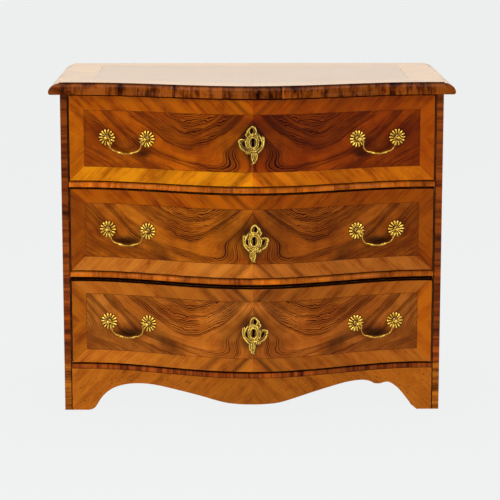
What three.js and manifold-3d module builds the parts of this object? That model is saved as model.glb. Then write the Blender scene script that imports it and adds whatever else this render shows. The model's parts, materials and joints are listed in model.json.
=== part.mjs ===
// Serpentine-fronted commode chest with three drawers, in millimetres.
// X runs along the front, +Y points to the back and +Z up. The origin is on the
// floor under the middle of the chest's outer box.

import * as THREE from "three";
import { mergeVertices } from "three/addons/utils/BufferGeometryUtils.js";
import Module from "manifold-3d";

const wasm = await Module();
wasm.setup();

// Clearances
const fitGap = 0.3;
const slideGap = 0.4;
const overrun = 5;
const sideGap = 2.2;
const rearGap = 12;

// Carcase
const caseWidth = 960;
const caseDepth = 494;
const sideThickness = 18;
const bottomThickness = 12;
const dividerThickness = 14;
const backThickness = 10;
const housingDepth = 6;
const housingSetback = 12;
const backRebate = 10;

// Serpentine front: the swell is one cosine wave between two straight ends
const drawerBow = 105;
const topBow = 95;
const straightEnd = 35;
const swellSteps = 12;

// Top and its moulding
const topThickness = 29;
const topOverhang = 28;
const backOverhang = 6;
const filletWidth = 2;
const filletDrop = 2;
const noseHeight = 6;
const ovoloSteps = 4;
const noseSteps = 2;

// Beads glued to the front edges of the boards between the drawers
const beadProud = 7;
const beadSeat = 5;
const beadShoulder = 1;
const beadSteps = 4;
const baseBandProud = 1.5;

// Apron, feet and glue blocks
const apronHeight = 110;
const apronThickness = 18;
const sideFootWidth = 70;
const sideArchHeight = 72;
const blockSize = 40;

// Drawer fronts, and where their keyholes sit from the middle of each front
const bottomFrontHeight = 220.5;
const bottomGapAbove = 6;
const bottomKeyDrop = 7;
const bottomKeyShift = 2.5;
const middleFrontHeight = 212.5;
const middleGapAbove = 3;
const middleKeyDrop = 10.5;
const middleKeyShift = 4;
const topFrontHeight = 217.5;
const topGapAbove = 3;
const topKeyRise = 2.5;
const topKeyShift = 1;
const frontGapBelow = 1.5;
const frontThickness = 24;
const frontLap = 8;
const drawerSideThickness = 12;
const drawerSideDrop = 5;
const drawerBackThickness = 10;
const drawerBackDrop = 6;
const panelThickness = 8;
const panelRise = 8;
const panelGroove = 5;
const tailCount = 3;
const tailTipShare = 0.68;
const tailRootShare = 0.54;
const tailMargin = 4;

// Drawer stops on the boards
const stopPlace = 130;
const stopLength = 40;
const stopDepth = 22;
const stopHeight = 6;

// Locks
const lockWidth = 84;
const lockAbove = 36;
const lockBelow = 38;
const lockThickness = 14;
const lockInset = 6;
const lockNeckWidth = 28;
const lockDrop = 1;
const lockClearance = 0.5;
const pocketDepth = 4;
const boltWidth = 15;
const boltThickness = 5;
const boltTail = 30;
const boltWall = 6.3;
const boltTravel = 12;
const boltClearance = 0.5;

// Keyhole
const keyTopRadius = 4.25;
const keyFootRadius = 3.8;
const keySlotWidth = 5.6;
const keyTopRise = 6;
const keyFootDrop = 6.5;
const keySteps = 4;

// Escutcheons
const plateWidth = 67;
const plateHeight = 98;
const plateThickness = 2.6;
const bossWidth = 25;
const bossHeight = 32;
const bossThickness = 5;
const leafThickness = 4;

// Handles
const handleInset = 96.8;
const handleSpan = 102;
const handleRise = 4;
const rosetteRadius = 21;
const petalCount = 14;
const petalNotch = 1.6;
const petalCrest = 6.4;
const petalGroove = 4;
const petalRim = 2.4;
const petalRimGroove = 1.4;
const petalCrestRadius = 15;
const hubRadius = 6.6;
const hubHeight = 3;
const postRadius = 3.2;
const postHole = 0.4;
const postTail = 5;
const postSides = 6;
const ballRadius = 4.9;
const ballHeight = 17;
const bailPinRadius = 1.7;
const bailPinClearance = 0.5;
const bailPinPast = 5.6;
const bailInset = 10.5;
const bailDrop = 38;
const bailSag = 2;
const bailTopBend = 3.5;
const bailCorner = 14;
const bailArmRadius = 1.7;
const bailBeadRadius = 2.7;
const bailLeafRadius = 2.4;
const bailNeckRadius = 1.6;
const bailSides = 6;

// Colours and finishes
function finish(color, roughness, metalness) {
  return new THREE.MeshStandardMaterial({ color, roughness, metalness });
}
const figuredWalnut = finish(0x8a4716, 0.35, 0);
const crossWalnut = finish(0x5d2c10, 0.35, 0);
const goldenWalnut = finish(0xa65f1f, 0.35, 0);
const pine = finish(0xc49a66, 0.7, 0);
const brass = finish(0xc79a3a, 0.3, 1);
const iron = finish(0x4a4642, 0.6, 0.9);

// Places worked out from the sizes above
const halfWidth = caseWidth / 2;
const innerHalf = halfWidth - sideThickness;
const swellHalf = halfWidth - straightEnd;
const frontReach = Math.max(topBow + topOverhang, drawerBow + beadProud);
const overallDepth = frontReach + caseDepth + backOverhang;
const stileY = frontReach - overallDepth / 2;
const backY = stileY + caseDepth;
const backInnerY = backY - backThickness;
const frontHalf = innerHalf - sideGap;
const frontBackY = stileY + frontThickness;
const drawerRearY = backInnerY - rearGap;
const bayFloor = apronHeight + bottomThickness;
const rosetteOuter = frontHalf - handleInset;
const rosetteInner = rosetteOuter - handleSpan;

// The drawers from the lowest one up. The top one's escutcheon is mirrored.
const drawerSizes = [
  {
    name: "bottom_drawer",
    front: bottomFrontHeight,
    gapAbove: bottomGapAbove,
    keyRise: -bottomKeyDrop,
    keyShift: bottomKeyShift,
    flip: 1,
  },
  {
    name: "middle_drawer",
    front: middleFrontHeight,
    gapAbove: middleGapAbove,
    keyRise: -middleKeyDrop,
    keyShift: middleKeyShift,
    flip: 1,
  },
  {
    name: "top_drawer",
    front: topFrontHeight,
    gapAbove: topGapAbove,
    keyRise: topKeyRise,
    keyShift: topKeyShift,
    flip: -1,
  },
];

// Solids from geometries and back again
function solidOf(geometry) {
  const bare = geometry.clone();
  bare.deleteAttribute("normal");
  bare.deleteAttribute("uv");
  const merged = mergeVertices(bare);
  const vertProperties = Float32Array.from(merged.attributes.position.array);
  const triVerts = Uint32Array.from(merged.index.array);
  return new wasm.Manifold(new wasm.Mesh({ numProp: 3, vertProperties, triVerts }));
}

function geometryOf(solid) {
  const mesh = solid.getMesh();
  const geometry = new THREE.BufferGeometry();
  geometry.setAttribute("position", new THREE.BufferAttribute(mesh.vertProperties, 3));
  geometry.setIndex(new THREE.BufferAttribute(mesh.triVerts, 1));
  geometry.computeVertexNormals();
  return geometry;
}

function piece(name, geometry, material) {
  const mesh = new THREE.Mesh(geometry, material);
  mesh.name = name;
  return mesh;
}

// A box between two corners
function boxBetween(x0, x1, y0, y1, z0, z1) {
  const box = new THREE.BoxGeometry(x1 - x0, y1 - y0, z1 - z0);
  return box.translate((x0 + x1) / 2, (y0 + y1) / 2, (z0 + z1) / 2);
}

// A plan outline raised from z0 to z1
function raised(plan, z0, z1) {
  const geometry = new THREE.ExtrudeGeometry(new THREE.Shape(plan), {
    depth: z1 - z0,
    bevelEnabled: false,
  });
  return geometry.translate(0, 0, z0);
}

// A side-view outline of (y, z) points with its thickness from x0 to x1
function acrossX(outline, x0, x1) {
  const geometry = new THREE.ExtrudeGeometry(new THREE.Shape(outline), {
    depth: x1 - x0,
    bevelEnabled: false,
  });
  const turn = new THREE.Matrix4().makeBasis(
    new THREE.Vector3(0, 1, 0),
    new THREE.Vector3(0, 0, 1),
    new THREE.Vector3(1, 0, 0),
  );
  return geometry.applyMatrix4(turn).translate(x0, 0, 0);
}

// A front-view shape of (x, z) points with its depth from y0 back to y1
function acrossY(shape, y0, y1, steps) {
  const geometry = new THREE.ExtrudeGeometry(shape, {
    depth: y1 - y0,
    bevelEnabled: false,
    curveSegments: steps,
  });
  const turn = new THREE.Matrix4().makeBasis(
    new THREE.Vector3(1, 0, 0),
    new THREE.Vector3(0, 0, 1),
    new THREE.Vector3(0, -1, 0),
  );
  return geometry.applyMatrix4(turn).translate(0, y1, 0);
}

// A closed solid through rings of points, capped by the outline that the rings share
function loft(rings, outline) {
  const count = outline.length;
  const points = rings.flat();
  const faces = [];
  for (let ring = 0; ring + 1 < rings.length; ring += 1) {
    for (let side = 0; side < count; side += 1) {
      const next = (side + 1) % count;
      const here = ring * count;
      const there = here + count;
      faces.push(here + side, here + next, there + next);
      faces.push(here + side, there + next, there + side);
    }
  }
  const last = (rings.length - 1) * count;
  const clockwise = THREE.ShapeUtils.isClockWise(outline);
  for (const [a, b, c] of THREE.ShapeUtils.triangulateShape(outline, [])) {
    const [first, second] = clockwise ? [b, c] : [c, b];
    faces.push(a, first, second);
    faces.push(last + a, last + second, last + first);
  }
  const geometry = new THREE.BufferGeometry().setFromPoints(points);
  geometry.setIndex(volumeInside(points, faces) < 0 ? faces.reverse() : faces);
  geometry.computeVertexNormals();
  return geometry;
}

// Six times the volume inside a mesh, negative where its faces point in
function volumeInside(points, faces) {
  let total = 0;
  for (let at = 0; at < faces.length; at += 3) {
    const [a, b, c] = [points[faces[at]], points[faces[at + 1]], points[faces[at + 2]]];
    total += new THREE.Vector3().crossVectors(b, c).dot(a);
  }
  return total;
}

// The serpentine line: a cosine wave drawn as facets between its stations, which
// every piece shares
function swell(x) {
  const wave = (step) => {
    return Math.abs(step) < swellSteps ? (1 + Math.cos(Math.PI * step / swellSteps)) / 2 : 0;
  };
  const place = x / swellHalf * swellSteps;
  const station = Math.floor(place);
  return THREE.MathUtils.lerp(wave(station), wave(station + 1), place - station);
}

function stations(x0, x1) {
  const inner = [];
  for (let step = -swellSteps; step <= swellSteps; step += 1) {
    const x = swellHalf * step / swellSteps;
    if (x > x0 && x < x1) {
      inner.push(x);
    }
  }
  return [x0, ...inner, x1];
}

function faceLine(x0, x1, bow, inward) {
  return stations(x0, x1).map((x) => new THREE.Vector2(x, stileY - bow * swell(x) + inward));
}

// A strip that follows the serpentine line, between two distances behind it
function serpentineStrip(x0, x1, front, back, z0, z1) {
  const outer = faceLine(x0, x1, drawerBow, front);
  const inner = faceLine(x0, x1, drawerBow, back).reverse();
  return raised([...outer, ...inner], z0, z1);
}

// A profile of (proud, height) points swept along the drawers' face line
function sweptAlongFront(profile, x0, x1) {
  const rings = stations(x0, x1).map((x) => {
    const faceY = stileY - drawerBow * swell(x);
    return profile.map((point) => new THREE.Vector3(x, faceY - point.x, point.y));
  });
  return loft(rings, profile);
}

// Heights of the bays
function bayHeights() {
  const bays = [];
  let floor = bayFloor;
  for (const size of drawerSizes) {
    const ceiling = floor + frontGapBelow + size.front + size.gapAbove;
    bays.push({ ...size, floor, ceiling });
    floor = ceiling + dividerThickness;
  }
  return bays;
}
const bays = bayHeights();
const caseHeight = bays[bays.length - 1].ceiling;

// Carcase boards
function footedSideOutline() {
  const shape = new THREE.Path();
  const footFront = stileY + sideFootWidth;
  const footBack = backY - sideFootWidth;
  const reach = sideArchHeight;
  shape.moveTo(footFront, 0);
  shape.bezierCurveTo(
    footFront + reach / 2, 0,
    footFront + reach / 4, sideArchHeight,
    footFront + reach, sideArchHeight,
  );
  shape.lineTo(footBack - reach, sideArchHeight);
  shape.bezierCurveTo(
    footBack - reach / 4, sideArchHeight,
    footBack - reach / 2, 0,
    footBack, 0,
  );
  const archSteps = 8;
  const arch = shape.getPoints(archSteps);
  return [
    new THREE.Vector2(stileY, caseHeight - fitGap),
    new THREE.Vector2(stileY, 0),
    ...arch,
    new THREE.Vector2(backY, 0),
    new THREE.Vector2(backY, caseHeight - fitGap),
  ];
}

function sidePanel(sign) {
  const outer = sign * halfWidth;
  const inner = sign * innerHalf;
  const low = Math.min(outer, inner);
  const high = Math.max(outer, inner);
  let panel = solidOf(acrossX(footedSideOutline(), low, high));
  const boards = bays.map((bay) => [bay.ceiling, bay.ceiling + dividerThickness]);
  boards.pop();
  boards.push([apronHeight, bayFloor]);
  for (const [z0, z1] of boards) {
    const deep = inner + sign * housingDepth;
    const mouth = inner - sign * overrun;
    panel = panel.subtract(solidOf(boxBetween(
      Math.min(deep, mouth),
      Math.max(deep, mouth),
      stileY + housingSetback - fitGap,
      backY + overrun,
      z0 - fitGap,
      z1 + fitGap,
    )));
  }
  const rebate = inner + sign * backRebate;
  const mouth = inner - sign * overrun;
  return geometryOf(panel.subtract(solidOf(boxBetween(
    Math.min(rebate, mouth),
    Math.max(rebate, mouth),
    backInnerY - fitGap,
    backY + overrun,
    apronHeight - fitGap,
    caseHeight + overrun,
  ))));
}

function housedPlan() {
  const seat = beadSeat + fitGap;
  const tongue = innerHalf + housingDepth - fitGap;
  const shoulder = innerHalf - fitGap;
  const rear = backInnerY - fitGap - fitGap;
  return [
    ...faceLine(-shoulder, shoulder, drawerBow, seat),
    new THREE.Vector2(shoulder, stileY + housingSetback),
    new THREE.Vector2(tongue, stileY + housingSetback),
    new THREE.Vector2(tongue, rear),
    new THREE.Vector2(-tongue, rear),
    new THREE.Vector2(-tongue, stileY + housingSetback),
    new THREE.Vector2(-shoulder, stileY + housingSetback),
  ];
}

// The stop blocks stand behind the drawer front, under the drawer's raised bottom
function stopBlock(place, top) {
  const front = frontThickness + fitGap;
  return solidOf(serpentineStrip(
    place - stopLength / 2,
    place + stopLength / 2,
    front,
    front + stopDepth,
    top - fitGap,
    top + stopHeight,
  ));
}

// The pocket that the bolt of the drawer below shoots into
function boltMortise(bay) {
  const lock = lockPlace(bay);
  const reach = boltTravel - lockDrop - bay.gapAbove;
  const half = boltWidth / 2 + boltClearance;
  return solidOf(boxBetween(
    bay.keyShift - half,
    bay.keyShift + half,
    lock.boltFront - boltClearance,
    lock.boltFront + boltThickness + boltClearance,
    bay.ceiling - overrun,
    bay.ceiling + Math.max(reach, 0) + boltClearance,
  ));
}

function housedBoard(z0, z1) {
  let board = solidOf(raised(housedPlan(), z0, z1));
  board = board.add(stopBlock(-stopPlace, z1));
  return board.add(stopBlock(stopPlace, z1));
}

function dividerBoard(bayBelow) {
  const board = housedBoard(bayBelow.ceiling, bayBelow.ceiling + dividerThickness);
  return geometryOf(board.subtract(boltMortise(bayBelow)));
}

function topBoard() {
  const half = halfWidth - fitGap;
  const plan = [
    ...faceLine(-half, half, topBow, fitGap),
    new THREE.Vector2(half, backY + backOverhang),
    new THREE.Vector2(-half, backY + backOverhang),
  ];
  const board = solidOf(raised(plan, caseHeight, caseHeight + topThickness));
  return geometryOf(board.subtract(boltMortise(bays[bays.length - 1])));
}

// Three upright boards, shown by the V-joints between them
function backPanel() {
  const half = innerHalf + backRebate - fitGap;
  const z0 = apronHeight;
  const z1 = caseHeight - fitGap;
  const jointWidth = backThickness / 4;
  let panel = solidOf(boxBetween(-half, half, backInnerY, backY, z0, z1));
  for (const place of [-half / 3, half / 3]) {
    const joint = [
      new THREE.Vector2(place - jointWidth, backY + fitGap),
      new THREE.Vector2(place, backY - jointWidth),
      new THREE.Vector2(place + jointWidth, backY + fitGap),
    ];
    panel = panel.subtract(solidOf(raised(joint, z0 - overrun, z1 + overrun)));
  }
  return geometryOf(panel);
}

// Moulding round the top: a fillet, an ovolo and a small rounded underside
function topProfile() {
  const profile = [
    new THREE.Vector2(0, 0),
    new THREE.Vector2(0, topThickness),
    new THREE.Vector2(filletWidth, topThickness),
  ];
  const ovoloWidth = topOverhang - filletWidth;
  const ovoloHeight = topThickness - filletDrop - noseHeight;
  for (let step = 0; step <= ovoloSteps; step += 1) {
    const turn = Math.PI / 2 * step / ovoloSteps;
    profile.push(new THREE.Vector2(
      filletWidth + ovoloWidth * Math.sin(turn),
      noseHeight + ovoloHeight * Math.cos(turn),
    ));
  }
  for (let step = 1; step <= noseSteps; step += 1) {
    const turn = Math.PI / 2 * step / noseSteps;
    profile.push(new THREE.Vector2(
      topOverhang - noseHeight * (1 - Math.cos(turn)),
      noseHeight * (1 - Math.sin(turn)),
    ));
  }
  return profile;
}

function topFrontMoulding() {
  const profile = topProfile();
  const corner = halfWidth - fitGap;
  const inner = stations(-halfWidth, halfWidth).slice(1, -1);
  const along = inner.map((x) => profile.map((point) => new THREE.Vector3(
    x,
    stileY - topBow * swell(x) - point.x,
    caseHeight + point.y,
  )));
  const mitre = (sign) => profile.map((point) => new THREE.Vector3(
    sign * (corner + point.x),
    stileY - point.x,
    caseHeight + point.y,
  ));
  return loft([mitre(-1), ...along, mitre(1)], profile);
}

function topSideMoulding(sign) {
  const profile = topProfile();
  const mitre = profile.map((point) => new THREE.Vector3(
    sign * (halfWidth + point.x),
    stileY - point.x,
    caseHeight + point.y,
  ));
  const rear = profile.map((point) => new THREE.Vector3(
    sign * (halfWidth + point.x),
    backY + backOverhang,
    caseHeight + point.y,
  ));
  return loft([mitre, rear], profile);
}

// Half-round bead, its back seated behind the drawers' face
function beadGeometry(z0) {
  const profile = [new THREE.Vector2(-beadSeat, z0 + dividerThickness), new THREE.Vector2(-beadSeat, z0)];
  for (let step = 0; step <= beadSteps; step += 1) {
    const turn = Math.PI * step / beadSteps;
    profile.push(new THREE.Vector2(
      beadShoulder + (beadProud - beadShoulder) * Math.sin(turn),
      z0 + dividerThickness / 2 * (1 - Math.cos(turn)),
    ));
  }
  return sweptAlongFront(profile, -innerHalf + fitGap, innerHalf - fitGap);
}

// Flat cross-banded strip over the apron, with eased edges
function baseBandGeometry() {
  const ease = baseBandProud / 2;
  const profile = [
    new THREE.Vector2(-beadSeat, bayFloor),
    new THREE.Vector2(-beadSeat, apronHeight),
    new THREE.Vector2(baseBandProud - ease, apronHeight),
    new THREE.Vector2(baseBandProud, apronHeight + ease),
    new THREE.Vector2(baseBandProud, bayFloor - ease),
    new THREE.Vector2(baseBandProud - ease, bayFloor),
  ];
  return sweptAlongFront(profile, -innerHalf + fitGap, innerHalf - fitGap);
}

// The apron's lower edge from the left foot to the right one. Each point is a share of
// the half width and of the apron's height; the right arch has a small nib.
const apronLeftShares = [
  [-0.907, 0], [-0.875, 0.065], [-0.84, 0.29], [-0.81, 0.43], [-0.766, 0.56], [-0.7, 0.66],
  [-0.63, 0.705], [-0.55, 0.71], [-0.45, 0.66], [-0.3, 0.555], [-0.16, 0.425], [-0.08, 0.39],
];
const apronRightShares = [
  [0, 0.382], [0.08, 0.39], [0.16, 0.425], [0.31, 0.585], [0.42, 0.69], [0.515, 0.765],
  [0.587, 0.785], [0.628, 0.77], [0.658, 0.725], [0.68, 0.675], [0.71, 0.66], [0.735, 0.685],
  [0.76, 0.68], [0.785, 0.62], [0.82, 0.49], [0.872, 0.21], [0.888, 0.115], [0.92, 0],
];

function apronGeometry() {
  const half = innerHalf - fitGap;
  const top = apronHeight - fitGap;
  const shares = [...apronLeftShares, ...apronRightShares];
  const knots = shares.map(([x, z]) => new THREE.Vector2(x * half, z * apronHeight));
  const edgeSteps = 2 * (knots.length - 1);
  const edge = new THREE.SplineCurve(knots).getPoints(edgeSteps);
  for (const point of edge) {
    point.y = Math.max(point.y, 0);
  }
  const outline = new THREE.Shape([
    new THREE.Vector2(-half, top),
    new THREE.Vector2(-half, 0),
    ...edge,
    new THREE.Vector2(half, 0),
    new THREE.Vector2(half, top),
  ]);
  const front = stileY - drawerBow - overrun;
  const behind = stileY + apronThickness + overrun;
  const cut = solidOf(acrossY(outline, front, behind, 1));
  return geometryOf(cut.intersect(solidOf(serpentineStrip(-half, half, 0, apronThickness, 0, top))));
}

// Glue blocks behind the four feet
function footBlock(sideSign, atFront) {
  const outer = innerHalf - fitGap;
  const x0 = sideSign < 0 ? -outer : outer - blockSize;
  const frontY = stileY + apronThickness + fitGap;
  const rearY = backInnerY - blockSize;
  const y0 = atFront ? frontY : rearY;
  return boxBetween(x0, x0 + blockSize, y0, y0 + blockSize, 0, apronHeight - fitGap);
}

// Keyhole: a round top, a slot and a round foot
function keyholeShape() {
  const half = keySlotWidth / 2;
  const topBite = Math.asin(half / keyTopRadius);
  const footBite = Math.asin(half / keyFootRadius);
  const right = Math.PI / 2;
  const shape = new THREE.Shape();
  shape.absarc(0, keyTopRise, keyTopRadius, topBite - right, 3 * right - topBite, false);
  shape.absarc(0, -keyFootDrop, keyFootRadius, right + footBite, 5 * right - footBite, false);
  return shape;
}

function keyholeCut(x, z, y0, y1) {
  return solidOf(acrossY(keyholeShape(), y0, y1, keySteps).translate(x, 0, z));
}

// Where a drawer's lock sits. Heights are above the bay's floor.
function lockPlace(bay) {
  const backFace = stileY - drawerBow * swell(bay.keyShift) + frontThickness;
  const seat = backFace - lockInset;
  const keyZ = frontGapBelow + bay.front / 2 + bay.keyRise;
  const frontTop = frontGapBelow + bay.front;
  return {
    seat,
    keyZ,
    face: seat + fitGap,
    boltFront: seat + fitGap + boltWall,
    low: keyZ - lockBelow,
    high: keyZ + lockAbove,
    neckTop: frontTop - lockDrop,
  };
}

// The lock's body with its neck, grown all round by a clearance to cut its recess
function lockBody(bay, grow, y0, y1) {
  const lock = lockPlace(bay);
  const half = lockWidth / 2 + grow;
  const neckHalf = lockNeckWidth / 2 + grow;
  const x = bay.keyShift;
  const body = solidOf(boxBetween(x - half, x + half, y0, y1, lock.low - grow, lock.high + grow));
  const neckTop = grow > 0 ? lock.neckTop + lockDrop + overrun : lock.neckTop;
  const neck = boxBetween(x - neckHalf, x + neckHalf, y0, y1, lock.keyZ, neckTop);
  return body.add(solidOf(neck));
}

function lockCase(bay) {
  const lock = lockPlace(bay);
  const x = bay.keyShift;
  const channelHalf = boltWidth / 2 + boltClearance;
  const channel = boxBetween(
    x - channelHalf,
    x + channelHalf,
    lock.boltFront - boltClearance,
    lock.boltFront + boltThickness + boltClearance,
    lock.high - boltTail - boltClearance,
    lock.neckTop + overrun,
  );
  const body = lockBody(bay, 0, lock.face, lock.face + lockThickness);
  const pocket = keyholeCut(x, lock.keyZ, lock.face - overrun, lock.face + pocketDepth);
  return geometryOf(body.subtract(solidOf(channel)).subtract(pocket));
}

function lockBolt(bay) {
  const lock = lockPlace(bay);
  const x = bay.keyShift;
  return boxBetween(
    x - boltWidth / 2,
    x + boltWidth / 2,
    lock.boltFront,
    lock.boltFront + boltThickness,
    lock.high - boltTail,
    lock.neckTop,
  );
}

// Dovetails: the tails are on the drawer's sides, evenly spaced above its bottom panel
function tailPlaces(bay) {
  const low = slideGap + panelRise + panelThickness + tailMargin;
  const high = frontGapBelow + bay.front - drawerSideDrop - drawerBackDrop - tailMargin;
  const pitch = (high - low) / tailCount;
  const places = [];
  for (let tail = 0; tail < tailCount; tail += 1) {
    places.push({
      centre: low + pitch * (tail + 0.5),
      tip: pitch * tailTipShare / 2,
      root: pitch * tailRootShare / 2,
    });
  }
  return places;
}

function tailPoints(tail, shoulder, tip) {
  return [
    new THREE.Vector2(shoulder, tail.centre - tail.root),
    new THREE.Vector2(tip, tail.centre - tail.tip),
    new THREE.Vector2(tip, tail.centre + tail.tip),
    new THREE.Vector2(shoulder, tail.centre + tail.root),
  ];
}

// The socket for one tail, open past the shoulder and running past the tip
function socketCut(tail, shoulder, tip, past) {
  const way = Math.sign(tip - shoulder);
  const root = tail.root + fitGap;
  const wide = tail.tip + fitGap;
  return [
    new THREE.Vector2(shoulder - way * overrun, tail.centre - root),
    new THREE.Vector2(shoulder, tail.centre - root),
    new THREE.Vector2(tip, tail.centre - wide),
    new THREE.Vector2(tip + way * past, tail.centre - wide),
    new THREE.Vector2(tip + way * past, tail.centre + wide),
    new THREE.Vector2(tip, tail.centre + wide),
    new THREE.Vector2(shoulder, tail.centre + root),
    new THREE.Vector2(shoulder - way * overrun, tail.centre + root),
  ];
}

const tailTipFront = stileY + frontLap + fitGap;
const shoulderFront = frontBackY + fitGap;
const drawerBackFront = drawerRearY - drawerBackThickness;
const shoulderBack = drawerBackFront - fitGap;
const drawerInnerHalf = frontHalf - drawerSideThickness;
const panelLow = slideGap + panelRise;
const panelHigh = panelLow + panelThickness;

function drawerSide(bay, sign) {
  const low = slideGap;
  const high = frontGapBelow + bay.front - drawerSideDrop;
  const tails = tailPlaces(bay);
  const outline = [
    new THREE.Vector2(shoulderFront, low),
    ...tails.flatMap((tail) => tailPoints(tail, shoulderFront, tailTipFront)),
    new THREE.Vector2(shoulderFront, high),
    new THREE.Vector2(shoulderBack, high),
    ...tails.flatMap((tail) => tailPoints(tail, shoulderBack, drawerRearY)).reverse(),
    new THREE.Vector2(shoulderBack, low),
  ];
  const x0 = sign < 0 ? -frontHalf : drawerInnerHalf;
  const side = solidOf(acrossX(outline, x0, x0 + drawerSideThickness));
  const deep = sign * (drawerInnerHalf + panelGroove);
  const mouth = sign * (drawerInnerHalf - overrun);
  const groove = boxBetween(
    Math.min(deep, mouth),
    Math.max(deep, mouth),
    stileY,
    backY,
    panelLow - fitGap,
    panelHigh + fitGap,
  );
  return geometryOf(side.subtract(solidOf(groove)));
}

// Sockets on both ends of a board, for the tails of the two sides
function withSockets(board, bay, shoulder, tip, past) {
  let cut = board;
  for (const tail of tailPlaces(bay)) {
    const socket = socketCut(tail, shoulder, tip, past);
    const inner = drawerInnerHalf - fitGap;
    const outer = frontHalf + overrun;
    cut = cut.subtract(solidOf(acrossX(socket, inner, outer)));
    cut = cut.subtract(solidOf(acrossX(socket, -outer, -inner)));
  }
  return cut;
}

// The bottom panel's outline, with its front edge that far inside the front board
function panelPlan(grow) {
  const half = drawerInnerHalf + panelGroove - fitGap + grow;
  const lead = frontThickness - panelGroove + fitGap - grow;
  const inset = frontThickness + fitGap;
  const neck = drawerInnerHalf - fitGap + grow;
  return [
    ...faceLine(-neck, neck, drawerBow, lead),
    new THREE.Vector2(neck, stileY + inset),
    new THREE.Vector2(half, stileY + inset),
    new THREE.Vector2(half, drawerRearY),
    new THREE.Vector2(-half, drawerRearY),
    new THREE.Vector2(-half, stileY + inset),
    new THREE.Vector2(-neck, stileY + inset),
  ];
}

function rosetteSeats() {
  const seats = [];
  for (const side of [-1, 1]) {
    for (const [label, reach] of [["outer", rosetteOuter], ["inner", rosetteInner]]) {
      seats.push({ side, label, ...rosetteSeat(side * reach) });
    }
  }
  return seats;
}

// A rosette's place: its plate clears the curved face under it by the fit gap
function rosetteSeat(x) {
  const slope = Math.atan(drawerBow * Math.PI / swellHalf / 2 * Math.sin(Math.PI * x / swellHalf));
  const out = new THREE.Vector2(Math.sin(slope), -Math.cos(slope));
  const face = new THREE.Vector2(x, stileY - drawerBow * swell(x));
  const reach = rosetteRadius * Math.cos(slope);
  let lift = 0;
  for (const point of faceLine(x - reach, x + reach, drawerBow, 0)) {
    lift = Math.max(lift, point.clone().sub(face).dot(out));
  }
  const base = face.clone().addScaledVector(out, lift + fitGap);
  const ball = face.clone().addScaledVector(out, ballHeight);
  return { slope, out, face, base, ball };
}

function postHoleCut(seat, z) {
  const length = frontThickness * 3;
  const hole = new THREE.CylinderGeometry(
    postRadius + postHole,
    postRadius + postHole,
    length,
    postSides,
  );
  hole.rotateZ(seat.slope);
  return solidOf(hole.translate(seat.face.x, seat.face.y, z));
}

function drawerFront(bay) {
  const lock = lockPlace(bay);
  const low = frontGapBelow;
  const high = frontGapBelow + bay.front;
  let front = solidOf(serpentineStrip(-frontHalf, frontHalf, 0, frontThickness, low, high));
  front = withSockets(front, bay, frontBackY, tailTipFront, fitGap);
  front = front.subtract(solidOf(raised(panelPlan(fitGap), panelLow - fitGap, panelHigh + fitGap)));
  front = front.subtract(lockBody(bay, lockClearance, lock.seat, lock.seat + lockThickness * 2));
  const ahead = stileY - drawerBow - overrun;
  front = front.subtract(keyholeCut(bay.keyShift, lock.keyZ, ahead, lock.seat + overrun));
  for (const seat of rosetteSeats()) {
    front = front.subtract(postHoleCut(seat, frontGapBelow + bay.front / 2 + handleRise));
  }
  return geometryOf(front);
}

function drawerBack(bay) {
  const low = panelHigh + fitGap;
  const high = frontGapBelow + bay.front - drawerSideDrop - drawerBackDrop;
  const board = solidOf(boxBetween(-frontHalf, frontHalf, drawerBackFront, drawerRearY, low, high));
  return geometryOf(withSockets(board, bay, drawerBackFront, drawerRearY, overrun));
}

// Escutcheon outline round the keyhole, clockwise from its crest. Shares of the
// plate's width and height.
const plateShares = [
  [-0.02, 0.435], [0.07, 0.425], [0.14, 0.37], [0.23, 0.32], [0.245, 0.26], [0.31, 0.215],
  [0.26, 0.155], [0.305, 0.093], [0.44, 0.108], [0.53, 0.08], [0.55, 0], [0.515, -0.083],
  [0.43, -0.165], [0.305, -0.228], [0.26, -0.3], [0.155, -0.31], [0.08, -0.28], [0.073, -0.41],
  [0.05, -0.48], [0.075, -0.55], [-0.025, -0.537], [-0.115, -0.495], [-0.175, -0.4],
  [-0.19, -0.31], [-0.24, -0.268], [-0.3, -0.196], [-0.39, -0.113], [-0.43, -0.03],
  [-0.425, 0.05], [-0.42, 0.155], [-0.345, 0.175], [-0.267, 0.145], [-0.23, 0.217],
  [-0.146, 0.279], [-0.116, 0.37], [-0.07, 0.424],
];
// Its piercings: centre, half sizes and tilt in quarter turns
const piercingShares = [
  [0.057, 0.3, 0.055, 0.068, 0],
  [-0.237, -0.035, 0.045, 0.066, 0.15],
  [0.313, -0.08, 0.04, 0.09, -0.4],
];
// Its raised leaves, given the same way
const leafShares = [
  [-0.055, -0.39, 0.1, 0.13, 0],
  [0.13, 0.2, 0.08, 0.06, 0.3],
  [0.44, -0.01, 0.07, 0.07, 0],
];

function ovalShape(shares, flip, Kind) {
  const [x, z, wide, high, tilt] = shares;
  const oval = new Kind();
  oval.absellipse(
    flip * x * plateWidth,
    z * plateHeight,
    wide * plateWidth,
    high * plateHeight,
    0,
    Math.PI * 2,
    false,
    flip * tilt * Math.PI / 2,
  );
  return oval;
}

// A front-view shape cut as a plate that hugs the drawer's curved face
function platedOnFace(shape, steps, x, z, thickness) {
  const ahead = stileY - drawerBow - thickness - overrun;
  const behind = stileY;
  const prism = solidOf(acrossY(shape, ahead, behind, steps).translate(x, 0, z));
  const reach = plateHeight;
  const hug = serpentineStrip(x - reach, x + reach, -fitGap - thickness, -fitGap, z - reach, z + reach);
  return prism.intersect(solidOf(hug));
}

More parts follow.
